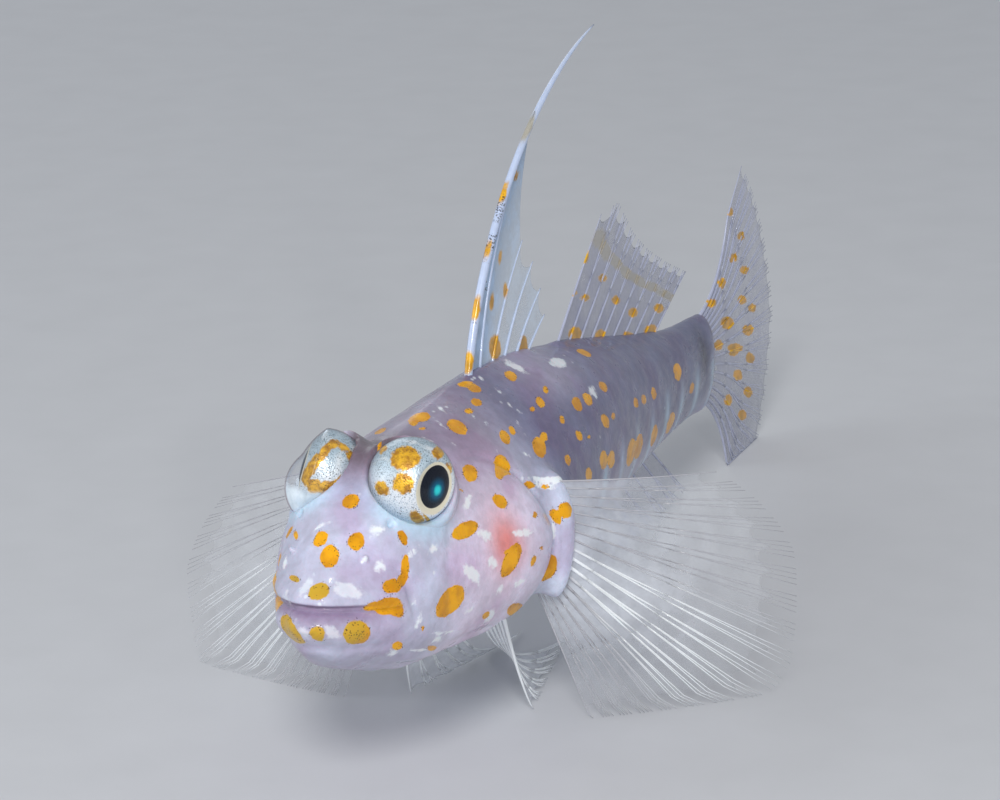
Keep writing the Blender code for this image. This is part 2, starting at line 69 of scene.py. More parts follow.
def makeCamera():
    a, e, r = (math.radians(view[k]) for k in ("azimuth", "elevation", "roll"))
    back = Vector((math.sin(a) * math.cos(e), -math.cos(a) * math.cos(e), math.sin(e)))
    right = Vector((math.cos(a), math.sin(a), 0))
    up = back.cross(right)
    right, up = (right * math.cos(r) + up * math.sin(r), up * math.cos(r) - right * math.sin(r))
    data = bpy.data.cameras.new("camera")
    data.lens = view["lens"]
    data.sensor_width = 36
    data.clip_start = 0.005
    obj = bpy.data.objects.new("camera", data)
    turn = Matrix((right, up, back)).transposed().to_4x4()
    turn.translation = place(*view["aim"]) + back * view["distance"]
    obj.matrix_world = turn
    bpy.context.scene.collection.objects.link(obj)
    bpy.context.scene.camera = obj


makeCamera()
print("camera placed")


# ---- materials: one paint holds a material and adds the nodes that colour it ----
class Paint:
    def __init__(self, name):
        self.material = bpy.data.materials.new(name)
        self.material.use_nodes = True
        self.nodes, self.link = self.material.node_tree.nodes, self.material.node_tree.links.new

    def feed(self, node, values):  # values are numbers, colours or other nodes' sockets
        for key, value in values.items():
            socket = node.inputs[key]
            if isinstance(value, bpy.types.NodeSocket):
                self.link(value, socket)
            elif isinstance(value, tuple) and len(socket.default_value) == 4:
                socket.default_value = (*value, 1.0)
            else:
                socket.default_value = value

    def add(self, kind, values, **settings):
        node = self.nodes.new("ShaderNode" + kind)
        for key, value in settings.items():
            setattr(node, key, value)
        self.feed(node, values)
        return node

    def finish(self, values):  # the main shader's own values
        self.feed(self.nodes["Principled BSDF"], values)
        return self.material

    def value(self, name, kind="Fac"):  # one of the mesh's attributes
        return self.add("Attribute", {}, attribute_name=name).outputs[kind]

    def mix(self, part, a, b, how="MIX"):
        return self.add("Mix", {0: part, 6: a, 7: b}, data_type="RGBA", blend_type=how).outputs[2]

    def sum(self, kind, a, b, clamp=False):
        return self.add("Math", {0: a, 1: b}, operation=kind, use_clamp=clamp).outputs[0]

    def times(self, a, b):
        return self.sum("MULTIPLY", a, b)

    def plus(self, a, b, clamp=False):
        return self.sum("ADD", a, b, clamp)

    def minus(self, a, b):
        return self.sum("SUBTRACT", a, b)

    def most(self, a, b, clamp=False):
        return self.sum("MAXIMUM", a, b, clamp)

    def ramp(self, source, low, high):  # 0 at low, 1 at high, smooth between
        values = {"Value": source, "From Min": low, "From Max": high}
        return self.add("MapRange", values, interpolation_type="SMOOTHSTEP").outputs["Result"]

    def cells(self, scale, feature="F1"):
        where = self.add("TexCoord", {}).outputs["Object"]
        values = {"Vector": where, "Scale": scale}
        return self.add("TexVoronoi", values, feature=feature).outputs["Distance"]

    def noise(self, scale, detail=3.0, rough=0.5):
        where = self.add("TexCoord", {}).outputs["Object"]
        values = {"Vector": where, "Scale": scale, "Detail": detail, "Roughness": rough}
        return self.add("TexNoise", values).outputs["Fac"]

    def relief(self, height, strength, distance):
        values = {"Height": height, "Strength": strength, "Distance": distance}
        return self.add("Bump", values).outputs["Normal"]


# ---- stage: a plain pale floor and soft light ----
studio = {
    "floor": (0.60, 0.61, 0.63), "world": (0.66, 0.69, 0.74), "worldStrength": 0.56,
    "aim": (0, -0.012, 0.012),
    "lights": (  # name, place, size, energy, colour
        ("key", (0.11, -0.33, 0.27), 0.11, 0.98, (1.0, 0.985, 0.97)),
        ("fill", (-0.34, -0.22, 0.20), 0.30, 0.36, (0.88, 0.94, 1.0)),
        ("spark", (0.20, -0.33, 0.13), 0.025, 0.20, (1.0, 0.99, 0.97)),
        ("rim", (-0.26, 0.30, 0.20), 0.20, 0.10, (0.93, 0.96, 1.0))),
}


def areaLight(name, spot, size, energy, colour):
    data = bpy.data.lights.new(name, "AREA")
    data.shape = "DISK"
    data.size = size
    data.energy = energy
    data.color = colour
    obj = bpy.data.objects.new(name, data)
    obj.location = spot
    obj.rotation_euler = (Vector(studio["aim"]) - Vector(spot)).to_track_quat("-Z", "Y").to_euler()
    bpy.context.scene.collection.objects.link(obj)


def makeStage():
    mesh = bmesh.new()
    bmesh.ops.create_grid(mesh, x_segments=8, y_segments=8, size=1.5)
    data = bpy.data.meshes.new("floor")
    mesh.to_mesh(data)
    mesh.free()
    floor = bpy.data.objects.new("floor", data)
    bpy.context.scene.collection.objects.link(floor)
    paint = Paint("floor_paper")
    shade = paint.noise(220.0, 4.0)
    dim, pale = (tuple(v * k for v in studio["floor"]) for k in (0.96, 1.04))
    base = paint.mix(shade, dim, pale)
    data.materials.append(paint.finish({"Base Color": base, "Roughness": 0.75}))

    world = bpy.data.worlds.new("studio")
    bpy.context.scene.world = world
    world.use_nodes = True
    sky = world.node_tree.nodes["Background"]
    sky.inputs["Color"].default_value = (*studio["world"], 1)
    sky.inputs["Strength"].default_value = studio["worldStrength"]
    for light in studio["lights"]:
        areaLight(*light)
    bpy.context.scene.view_settings.view_transform = "Standard"


makeStage()
print("stage and light set")


# ---- shape of the body: the solids' stations, with a lower back ----
body = {
    "stations": np.array((
        (-0.35, -1.3, -2.3, 0.6), (0.0, -0.8, -2.7, 1.2),
        (0.8, 0.3, -3.7, 2.25), (2.2, 1.8, -4.7, 3.1), (4.2, 3.4, -5.35, 3.95),
        (7.0, 4.6, -6.0, 4.75), (11.0, 5.35, -6.2, 5.6), (15.5, 6.05, -6.2, 6.3),
        (18.5, 6.4, -6.0, 6.2), (24.0, 6.35, -5.8, 5.2), (32.0, 5.7, -5.2, 4.2),
        (40.0, 4.45, -4.3, 3.1), (48.0, 3.2, -3.5, 2.1), (54.0, 2.8, -3.2, 1.45),
        (56.2, 2.8, -3.3, 1.25), (58.5, 2.9, -3.4, 0.3))),
    "level": np.array(((-0.35, -1.8), (7.0, -1.6), (16.0, -0.8), (26.0, 0.2), (58.5, 0.1))),
    "headPower": 2.25, "tailPower": 2.05, "length": 58.0,
    "roof": (0.78, 18.0, 8.0),  # the nape slopes like a roof: how much, its middle and how far
    "around": 240, "along": 330,  # faces round the body and from snout to tail
}


def curveTangents(xs, ys):
    step = np.diff(xs)
    slope = np.diff(ys) / step
    tangent = np.zeros(len(xs))
    tangent[0], tangent[-1] = slope[0], slope[-1]
    for i in range(1, len(xs) - 1):
        if slope[i - 1] * slope[i] > 0:
            before, after = 2 * step[i] + step[i - 1], step[i] + 2 * step[i - 1]
            tangent[i] = (before + after) / (before / slope[i - 1] + after / slope[i])
    return tangent


def curveThrough(where, xs, ys):  # a smooth curve that never overshoots its points
    tangent = curveTangents(xs, ys)
    where = np.clip(where, xs[0], xs[-1])
    i = np.clip(np.searchsorted(xs, where, side="right") - 1, 0, len(xs) - 2)
    step = xs[i + 1] - xs[i]
    t = (where - xs[i]) / step
    rise = ys[i] * (1 + 2 * t) * (1 - t) ** 2 + ys[i + 1] * t * t * (3 - 2 * t)
    return rise + step * (tangent[i] * t * (1 - t) ** 2 - tangent[i + 1] * t * t * (1 - t))


def bodySection(s):
    table = body["stations"]
    top, bottom, half = (curveThrough(s, table[:, 0], table[:, k]) for k in (1, 2, 3))
    level = curveThrough(s, body["level"][:, 0], body["level"][:, 1])
    share = np.clip(s / body["length"], 0, 1)
    power = body["headPower"] + (body["tailPower"] - body["headPower"]) * share
    return top, bottom, half, level, power


def rawBody(s, x, z):  # 1 on the plain body's surface
    top, bottom, half, level, power = bodySection(s)
    reach = np.where(z > level, top - level, level - bottom)
    much, middle, width = body["roof"]
    power = power - np.where(z > level, much * bump(s, middle, width), 0)
    value = (np.abs(x) / half) ** power + (np.abs(z - level) / reach) ** power
    return value ** (1 / power)


def join(a, b, soft):  # a smooth union of two distances
    h = np.clip(0.5 + 0.5 * (b - a) / soft, 0, 1)
    return b * (1 - h) + a * h - soft * h * (1 - h)


def carve(a, b, soft):  # a with b taken out of it
    return -join(-a, b, soft)


def plainBody(s, x, z):  # distance to the plain body in mm, near its surface
    e = 0.04
    here = rawBody(s, x, z)
    slope = np.sqrt((rawBody(s + e, x, z) - here) ** 2 + (rawBody(s, x + e, z) - here) ** 2
                    + (rawBody(s, x, z + e) - here) ** 2) / e
    return carve((here - 1) / np.maximum(slope, 0.02), s + 0.42, 0.5)


def smoothStep(value, low, high):
    t = np.clip((value - low) / (high - low), 0, 1)
    return t * t * (3 - 2 * t)


def bump(value, middle, width):
    return np.exp(-(((value - middle) / width) ** 2))


def ball(s, x, z, centre, radius):
    return np.sqrt((s - centre[0]) ** 2 + (x - centre[1]) ** 2 + (z - centre[2]) ** 2) - radius


def oval(s, x, z, centre, radii):
    q = np.sqrt(((s - centre[0]) / radii[0]) ** 2 + ((x - centre[1]) / radii[1]) ** 2
                + ((z - centre[2]) / radii[2]) ** 2)
    return (q - 1) * min(radii)


def rod(s, x, z, a, b, radius):
    p = np.stack([s, x, z], axis=-1) - np.array(a)
    way = np.array(b) - np.array(a)
    t = np.clip(p @ way / (way @ way), 0, 1)
    return np.linalg.norm(p - t[..., None] * way, axis=-1) - radius


eyes = {"centre": (7.1, 2.38, 3.95), "radius": 2.2, "corneaRadius": 1.86, "corneaOffset": 0.45,
        "open": (-0.55, 0.62, 0.56),
        "looks": {1: (0.951, -0.307, -0.014), -1: (-0.904, -0.304, 0.301)},
        "hoods": {1: (0.15, 0.30, -0.72, 2.12), -1: (0.10, -0.08, -0.86, 2.02)}}
face = {"mouthLevel": -1.3, "mouthSlope": -0.1, "lipUp": 0.12, "lipLow": 0.13,
        "nostril": (2.45, 1.93, 0.95), "gill": (12.3, -1.2, 4.3, 4.9)}
scales = {"rows": 26, "start": 17.0, "length": 1.55, "height": 0.03, "edge": 0.035}


def mouthHeight(s, z):  # how far above the mouth's line a point is
    return z - (face["mouthLevel"] + face["mouthSlope"] * s)


def gillReach(s, z):  # under 1 inside the gill cover's outline
    g = face["gill"]
    return np.sqrt(((s - g[0]) / g[2]) ** 2 + ((z - g[1]) / g[3]) ** 2)


def faceRelief(s, x, z):  # mm the plain body is raised by lips, folds and the gill cover
    above = mouthHeight(s, z)
    lips = smoothStep(s, 4.0, 2.8)
    gape = smoothStep(s, 2.4, 0.5)  # the mouth is open a crack, widest in front
    raised = face["lipUp"] * bump(above, 0.75, 0.38) * lips
    raised += face["lipLow"] * bump(above, -0.95, 0.5) * lips
    raised -= 0.5 * smoothStep(above, 0.42, 0.26) * smoothStep(above, -0.62, 0.3) * gape
    raised -= 0.16 * bump(above, 0.02, 0.10) * smoothStep(s, 3.7, 3.3)
    raised -= 0.07 * bump(above, 1.4, 0.25) * lips + 0.12 * bump(above, -1.85, 0.28) * lips
    raised -= 0.28 * smoothStep(s, 5.5, 2.5) * smoothStep(np.abs(x), 0.6, 1.8)
    side = smoothStep(np.abs(x), 1.8, 2.6)
    # the upper jaw's end and the crease behind the mouth's corner
    lean = s - (3.55 - 0.28 * (z + 1.2))
    raised += 0.13 * bump(lean, -0.35, 0.55) * bump(z, -0.6, 1.5) * side
    raised -= 0.10 * bump(lean, 0.42, 0.2) * bump(z, -1.2, 1.5) * side
    # cheek line in front of the gill cover, then the cover with its free edge behind
    reach = gillReach(s, z)
    flank = smoothStep(np.abs(x), 2.2, 3.4)
    cheek = gillReach(s + 1.6, z)
    raised -= 0.05 * bump(cheek, 0.93, 0.07) * smoothStep(s, 11.5, 9.0) * flank
    behind = smoothStep(s, 10.5, 13.5)
    raised += 0.16 * smoothStep(reach, 1.03, 0.80) * behind * flank
    raised -= 0.20 * bump(reach, 1.055, 0.035) * behind * flank
    # throat folds under the head
    under = smoothStep(z, -3.4, -5.0) * smoothStep(s, 4.0, 6.0) * smoothStep(s, 18.5, 15.0)
    raised += 0.06 * np.cos(np.abs(x) * 5.2 - s * 0.55) * under
    # a low ridge where the fins of the back and belly rise
    back = (smoothStep(s, 19.4, 20.4) * smoothStep(s, 29.5, 28.0)
            + smoothStep(s, 31.8, 32.8) * smoothStep(s, 50.0, 47.5))
    belly = smoothStep(s, 32.2, 33.2) * smoothStep(s, 49.5, 46.5)
    raised += 0.22 * bump(x, 0.0, 0.42) * np.where(z > 0, back, belly)
    return raised


def nearEye(side, share):  # a point on the line the eye's socket opens along
    c, n = np.array(eyes["centre"]), np.array(eyes["open"]) / np.linalg.norm(eyes["open"])
    spot = c + n * share
    return spot[0], side * spot[1], spot[2]


def skinField(s, x, z):  # distance to the skin in mm
    d = plainBody(s, x, z) - faceRelief(s, x, z)
    for side in (1, -1):
        d = join(d, ball(s, x, z, nearEye(side, -0.42), 2.52), 0.9)
        d = carve(d, ball(s, x, z, nearEye(side, 1.1), 2.58), 0.34)
        d = join(d, oval(s, x, z, (18.3, side * 5.7, -1.4), (0.95, 1.0, 3.3)), 0.9)
        d = join(d, oval(s, x, z, (18.6, side * 1.9, -5.75), (1.2, 1.2, 0.75)), 0.6)
        n, w, h = face["nostril"]  # a short tube in front, an open pore behind
        foot, rim = (n + 0.3, side * (w - 0.2), h - 0.5), (n - 0.1, side * (w + 0.1), h + 0.2)
        d = join(d, rod(s, x, z, foot, rim, 0.13), 0.2)
        d = carve(d, ball(s, x, z, (n - 0.16, side * (w + 0.15), h + 0.33), 0.09), 0.05)
        d = carve(d, ball(s, x, z, (4.35, side * 2.45, 2.35), 0.19), 0.1)
    return d


def scaleRelief(s, angle):  # overlapping scales on the trunk and tail, in mm
    row = angle * scales["rows"] / (2 * math.pi)
    best = np.zeros_like(s)
    for shift in (0, 1):
        middle = np.floor(row) + shift
        along = (s - scales["start"]) / scales["length"] + 0.5 * (middle % 2)
        off = row - middle
        free = along + 0.42 * (1 - np.cos(off * math.pi))
        frac = free - np.floor(free)
        best = np.maximum(best, (1 - frac) * smoothStep(np.abs(off), 0.72, 0.45))
    return scales["height"] * best - scales["edge"] * smoothStep(best, 0.86, 1.0)


def ballMesh(around, along, radius):
    mesh = bmesh.new()
    bmesh.ops.create_uvsphere(mesh, u_segments=around, v_segments=along, radius=radius)
    return mesh


def makeObject(name, mesh, material, turn=False):
    if turn:
        bmesh.ops.recalc_face_normals(mesh, faces=mesh.faces)
    data = bpy.data.meshes.new(name)
    mesh.to_mesh(data)
    mesh.free()
    for side in data.polygons:
        side.use_smooth = True
    data.materials.append(material)
    obj = bpy.data.objects.new(name, data)
    bpy.context.scene.collection.objects.link(obj)
    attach(obj, "root")
    return obj


def addAttribute(obj, name, values):
    kind = "FLOAT_COLOR" if values.ndim == 2 else "FLOAT"
    layer = obj.data.attributes.new(name, kind, "POINT")
    if values.ndim == 2:
        layer.data.foreach_set("color", np.hstack([values, np.ones((len(values), 1))]).ravel())
    else:
        layer.data.foreach_set("value", values)


# Markings: s, x, z, half length, half width, slant from the body's line in degrees. The upright
# fins' have x at 0.
markings = {
    "spots": (
        (4.19, 0.38, 3.38, 0.51, 0.43, -22), (2.27, -0.39, 1.85, 0.49, 0.38, -10),
        (2.73, 1.34, 1.79, 0.51, 0.42, 25), (1.61, 0.4, 1.2, 0.64, 0.49, -28),
        (4.44, 3.1, 1.73, 0.42, 0.26, 77), (3.3, -2.24, 1.6, 0.44, 0.15, -12),
        (1.09, -1.29, 0.02, 0.53, 0.16, -43), (2.25, -2.79, -1.64, 0.97, 0.44, -4),
        (0.35, 0.39, -0.25, 0.54, 0.5, 37), (3.93, 3.43, 0.33, 0.67, 0.26, 62),
        (3.65, 3.35, -0.23, 0.44, 0.29, 26), (2.97, 3.17, -0.38, 0.6, 0.36, -12),
        (2.65, 3.06, -1.33, 0.88, 0.46, -10), (3.18, 3.26, -1.65, 0.5, 0.35, -30),
        (1.88, 2.55, -1.2, 0.43, 0.25, -7), (0.02, -1.11, -2.3, 0.96, 0.63, -6),
        (-0.34, 0.59, -2.23, 0.42, 0.37, -58), (1.01, 2.15, -2.42, 0.78, 0.66, -31),
        (3.77, 3.06, -3.69, 0.4, 0.26, -19), (6.75, 3.63, -4.55, 0.69, 0.19, -19),
        (10.55, 4.99, -3.69, 0.48, 0.22, -20), (4.83, 3.96, -2.95, 0.2, 0.09, -64),
        (6.75, 4.63, -1.99, 1.22, 0.73, 14), (13.23, 0.21, 5.7, 0.71, 0.49, 8),
        (12.55, 0.11, 5.6, 0.62, 0.25, -28), (12.1, 0.87, 5.4, 0.24, 0.16, 24),
        (14.09, 1.93, 5.15, 0.74, 0.59, 15), (16.35, 1.64, 5.47, 0.37, 0.21, -7),
        (17.64, 1.51, 5.67, 0.48, 0.29, -2), (18.84, 0.42, 6.3, 0.71, 0.3, 12),
        (18.88, 0.86, 6.11, 0.57, 0.41, 2), (22.87, 1.32, 5.99, 0.62, 0.36, 20),
        (17.01, 3.39, 4.07, 0.58, 0.38, 24), (18.14, 3.34, 4.17, 0.4, 0.24, 31),
        (14.78, 4.13, 3.08, 0.78, 0.58, 27), (14.04, 4.34, 3.08, 0.93, 0.35, 18),
        (11.49, 3.74, 3.47, 0.71, 0.47, 16), (12.3, 5.06, 1.91, 0.58, 0.4, -29),
        (8.68, 4.67, 1.23, 1.18, 0.41, -1), (9.84, 3.94, 2.97, 0.28, 0.09, -31),
        (19.43, 4.36, 3.08, 0.88, 0.51, 21), (20.61, 4.15, 3.38, 0.45, 0.26, 8),
        (22.8, 3.06, 4.69, 0.50, 0.32, 19), (24.28, 2.78, 5.03, 0.36, 0.22, 24),
        (21.54, 3.09, 4.59, 0.32, 0.15, 2), (26.44, 3.77, 3.88, 0.68, 0.44, 4),
        (28.16, 3.72, 3.79, 0.64, 0.40, -3), (31.45, 3.41, 3.81, 0.62, 0.35, -4),
        (29.57, 4.24, 2.29, 0.71, 0.41, -15), (31.24, 4.1, 2.2, 0.41, 0.2, -1),
        (23.64, 3.98, 3.62, 0.36, 0.24, 7), (24.73, 4.54, 2.55, 0.47, 0.29, -16),
        (26.07, 4.61, 2.19, 0.3, 0.13, -10), (28.18, 4.68, 0.43, 0.89, 0.53, -15),
        (29.87, 4.48, 0.06, 0.83, 0.5, -13), (21.79, 5.04, 1.92, 0.48, 0.29, 9),
        (24.84, 5.09, 0.39, 0.73, 0.42, -16), (34.84, 3.77, -0.74, 1.25, 0.82, -15),
        (36.93, 3.46, -0.89, 1.23, 0.76, -16), (41.25, 2.81, -1.27, 1.03, 0.65, -29),
        (45.95, 2.14, -1.59, 1.14, 0.7, -22), (36.5, 3.44, 1.79, 0.57, 0.31, -8),
        (38.45, 3.22, 1.55, 0.57, 0.31, -9), (40.95, 2.91, 1.35, 0.64, 0.36, -7),
        (47.26, 2.12, 1.28, 0.91, 0.54, -2), (50.59, 1.81, -0.44, 0.64, 0.36, -5),
        (17.88, 6.53, 0.24, 0.54, 0.41, -21), (17.15, 6.22, 0.03, 0.53, 0.28, -67),
        (14.75, 6, 0.68, 0.29, 0.2, 4), (16.23, 5.12, 1.85, 0.49, 0.2, -24),
        (17.3, 5.5, 1.54, 0.26, 0.15, -19), (33.2, 1.59, 5.33, 0.7, 0.44, 2),
        (11.89, 5.84, -1.05, 1.06, 0.58, 37), (11.66, 5.73, -0.56, 0.29, 0.13, -15),
        (16.83, 5.91, -2.7, 0.86, 0.56, -77), (13.74, 5.29, -4.21, 1.25, 0.42, -20),
        (10.58, 4.97, -3.74, 0.41, 0.22, -23), (14.68, 6.42, -1.03, 0.3, 0.12, -16),
        (13.83, 6.3, -1.51, 0.33, 0.25, 39), (11.62, -1.34, 5.18, 0.61, 0.33, -23),
        (7.15, 0.67, 5.56, 0.3, 0.09, 7)),
    # white marks: partly silvery flecks of the skin, partly painted glints of light on the wet skin
    "flecksAndGlints": (
        (3.65, 2, 2.2, 0.45, 0.31, -17), (2.88, -0.56, 2.39, 0.44, 0.15, 71),
        (2.77, 2.59, 0.64, 0.39, 0.3, 15), (4.6, 3.57, 0.99, 0.49, 0.18, 11),
        (5.86, 4.1, 0.88, 0.41, 0.22, 9), (1.06, 1.58, -0.25, 0.84, 0.45, -53),
        (0.48, -0.36, -0.15, 0.62, 0.31, 17), (0.63, -1.53, -0.67, 0.35, 0.27, 50),
        (-0.51, -0.08, -2.15, 0.49, 0.27, 7), (0.08, 1.2, -2.22, 0.44, 0.3, -68),
        (4.46, 3.85, -2.57, 0.43, 0.24, 79), (6.9, 4.28, -3.71, 1.61, 0.1, -8),
        (5.62, 3.46, -4.36, 1.34, 0.12, -5), (3.79, 2.78, -4.06, 0.36, 0.3, -37),
        (8.51, 5.09, -0.98, 0.97, 0.39, -40), (10.13, 5.13, 0.66, 0.63, 0.32, -29),
        (11.11, 4.98, -3.89, 0.64, 0.5, -43), (4.14, 3.73, -1.47, 0.25, 0.15, 79),
        (9.76, 4.32, 2.37, 0.77, 0.24, 22), (2.24, 2.03, 1.09, 0.15, 0.15, 32),
        (28.51, 1.82, 5.65, 1.1, 0.5, 0), (24.37, 0.95, 6.16, 0.77, 0.48, -84),
        (29.45, 3.53, 3.92, 0.62, 0.42, 0), (13.14, 5.98, 0.12, 1.14, 0.23, -9),
        (16.85, 6.17, -0.79, 1.07, 0.17, 86), (17.25, 5.44, 1.59, 0.9, 0.2, -32),
        (18.02, 5.87, 1.82, 1.80, 0.24, -28), (10.38, 5.46, -0.84, 0.46, 0.35, -22),
        (6.5, 4.02, -4.02, 0.56, 0.24, -11), (11.12, 5.53, -2.45, 0.34, 0.28, 15),
        (12.79, 5.96, -2.47, 0.49, 0.24, 10), (8.56, 4.95, -2.9, 0.48, 0.17, 2),
        (11.22, 1.53, 5.05, 0.27, 0.1, 84), (13.32, 1.29, 5.41, 0.35, 0.1, 75),
        (12.29, 2.29, 4.77, 0.21, 0.11, -74), (16.57, 2.51, 4.86, 0.26, 0.14, -83),
        (15.22, 3.74, 3.72, 0.16, 0.12, 82), (20.25, 2.92, 4.69, 0.27, 0.14, -75),
        (17.75, 4.34, 3.04, 0.38, 0.13, -47), (14.88, 0.72, 5.8, 0.32, 0.12, -60),
        (16.18, 1.86, 5.32, 0.21, 0.11, -69), (20.43, 1.7, 5.66, 0.32, 0.16, -82),
        (20, 2.45, 5.09, 0.27, 0.11, 82), (19.21, 3.18, 4.4, 0.27, 0.13, 85),
        (20.48, 0.59, 6.3, 0.28, 0.13, -59)),
    "finGold": (
        (20.05, 0, 7.19, 0.62, 0.32, 76), (23.85, 0, 7.24, 0.9, 0.71, -33),
        (27.94, 0, 6.51, 0.74, 0.61, -48), (30.01, 0, 6.1, 0.54, 0.43, -34),
        (21.02, 0, 9.99, 0.78, 0.30, 66), (23.4, 0, 9.84, 0.54, 0.34, 76),
        (22.69, 0, 12.85, 0.66, 0.26, 57), (24.58, 0, 12.04, 0.44, 0.25, 64),
        (24.93, 0, 15.62, 1.05, 0.25, 48), (25.28, 0, 10.15, 0.43, 0.32, 81),
        (37.76, 0, 23.13, 0.66, 0.15, 21), (26.87, 0, 16.21, 0.53, 0.27, 10),
        (35.73, 0, 5.67, 1.18, 0.42, -13), (39.7, 0, 4.8, 1.06, 0.38, -13),
        (44.32, 0, 3.77, 1.07, 0.39, -13), (32.94, 0, 6.67, 0.72, 0.34, -14),
        (34.93, 0, 8.25, 1.26, 0.23, -14), (37.28, 0, 7.47, 0.81, 0.25, -13),
        (40.07, 0, 8.15, 0.92, 0.25, -11), (42.29, 0, 6.41, 0.81, 0.28, -12),
        (45.14, 0, 5.12, 0.93, 0.31, -12), (49.61, 0, 4.55, 0.97, 0.3, -12),
        (48.07, 0, 3.5, 1.16, 0.35, -8), (53.38, 0, 2.9, 1.42, 0.56, -20),
        (37.42, 0, 9.83, 0.59, 0.37, 6), (56.22, 0, 5.25, 0.94, 0.37, -12),
        (62.18, 0, 1.21, 1.39, 0.44, -12), (59.07, 0, 3.08, 1.16, 0.31, -12),
        (63.8, 0, -0.74, 1.61, 0.32, -12), (66.33, 0, -0.05, 1.23, 0.39, -12),
        (65.06, 0, 2.15, 1.01, 0.32, -12), (61.12, 0, 3.98, 0.98, 0.38, -13),
        (65.58, 0, 4.01, 1.01, 0.32, -12), (63.19, 0, 5.22, 0.91, 0.32, -12),
        (59.35, 0, 6.02, 0.77, 0.37, -14), (66.81, 0, -2, 1.03, 0.39, -14),
        (64.71, 0, 6.37, 0.8, 0.32, -12), (67.08, 0, 1.25, 0.82, 0.32, -13),
        (62.51, 0, 8.29, 0.71, 0.31, -12), (64.45, 0, -2.64, 1.02, 0.38, -14),
        (66.49, 0, -4.18, 1.03, 0.39, -14), (62.55, 0, -3.88, 0.92, 0.38, -15),
        (65.35, 0, -5.46, 0.95, 0.39, -15), (63.41, 0, -0.92, 1, 0.32, -13),
        (60.49, 0, 0.12, 0.98, 0.38, -14)),
    "finBlack": (
        (20.68, 0, 10.56, 0.4, 0.33, -58), (22.47, 0, 10.88, 0.43, 0.32, -23),
        (20.53, 0, 9.29, 0.34, 0.26, -27), (23.25, 0, 13.09, 0.56, 0.35, 55),
        (24.45, 0, 14.85, 0.74, 0.3, 44), (22.34, 0, 12.05, 0.29, 0.21, -22),
        (24.16, 0, 13.53, 0.69, 0.11, -16), (26.01, 0, 16.18, 0.69, 0.09, -17),
        (19.42, 0, 6.8, 0.28, 0.2, -78), (57.65, 0, 0.55, 1.55, 0.75, -69),
        (27.88, 0, 17.87, 0.56, 0.07, -17), (20.11, 0, 8.29, 0.28, 0.21, -25)),
    "finBand": (
        (28.6, 0, 18.75, 1.35, 0.28, 38),
        (39.43, 0, 10.58, 1.06, 0.53, 0), (40.41, 0, 9.71, 1.26, 0.54, -29),
        (42.21, 0, 8.69, 1.54, 0.38, -27), (44.05, 0, 7.71, 1.43, 0.35, -23),
        (46.09, 0, 6.87, 1.72, 0.33, -21), (48.33, 0, 6.1, 1.72, 0.28, -16),
        (50.79, 0, 5.16, 1.72, 0.29, -18), (52.95, 0, 4.33, 1.61, 0.29, -16)),
    "eyeLeft": (
        (5.62, 2.75, 5.52, 0.78, 0.74, -43), (5, 2.9, 4.34, 0.57, 0.53, 40),
        (7.15, 3.89, 5.55, 0.7, 0.33, 10), (5.87, 3.27, 2.35, 0.79, 0.31, -28),
        (5.01, 1.7, 3.97, 0.51, 0.39, 10), (7.35, 4.51, 4.43, 0.6, 0.43, 74),
        (6.32, 1.21, 5.64, 0.46, 0.28, -12), (6.99, 3.4, 2, 1.6, 0.1, -27)),
    "eyeRight": (
        (4.95, -2.85, 4.12, 0.48, 0.42, -43), (4.94, -2.56, 4.38, 0.50, 0.44, -40),
        (5.05, -2.25, 4.7, 0.50, 0.42, -15), (5.25, -2.0, 5.04, 0.46, 0.38, 6),
        (5.64, -1.67, 5.43, 0.44, 0.28, 4), (6.13, -1.47, 5.7, 0.46, 0.29, -12),
        (6.41, -0.98, 5.5, 0.36, 0.28, -58), (6.44, -0.63, 5.11, 0.34, 0.29, 47),
        (4.91, -2.56, 3.95, 0.40, 0.36, -15), (4.95, -2.03, 3.76, 0.50, 0.40, -6),
        (5.14, -1.46, 3.68, 0.48, 0.38, 20), (5.42, -0.98, 3.78, 0.42, 0.36, 34),
        (5.61, -0.76, 4.03, 0.3, 0.28, 71))}


def spotDistance(points, normals, spots):  # mm inside the nearest spot's edge, below 0 outside
    best = np.full(len(points), -9.0)
    for s, x, z, long, wide, slant in spots:
        gap = points - np.array((s, x, z))
        near = np.einsum("ij,ij->i", gap, gap) < (max(long, wide) + 1.6) ** 2
        if not near.any():
            continue
        g = gap[near]
        n = normals[near].mean(axis=0)
        n /= np.linalg.norm(n)
        along = np.array((1.0, 0, 0)) - n * n[0]
        if np.linalg.norm(along) < 0.25:
            along = np.cross((0, 0, 1.0), n)
        along /= np.linalg.norm(along)
        across = np.cross(n, along)
        if across[2] < 0 and abs(across[2]) > 0.3:
            across = -across
        a = math.radians(slant)
        u = g @ along * math.cos(a) + g @ across * math.sin(a)
        v = -(g @ along) * math.sin(a) + g @ across * math.cos(a)
        size = math.sqrt(long * wide)
        value = (1 - np.sqrt((u / long) ** 2 + (v / wide) ** 2)) * size
        best[near] = np.maximum(best[near], value)
    return best


def mirrored(spots, seed, keep=0.9):  # the right side's spots: the left's, moved a little
    dice = np.random.default_rng(seed)
    made = []
    for s, x, z, long, wide, slant in spots:
        if x > 2.4 and dice.random() < keep:
            ds, dz, grow = dice.normal(0, 0.45), dice.normal(0, 0.4), dice.uniform(0.8, 1.15)
            made.append((s + ds, -x, z + dz, long * grow, wide * grow, slant + dice.normal(0, 12)))
    return made


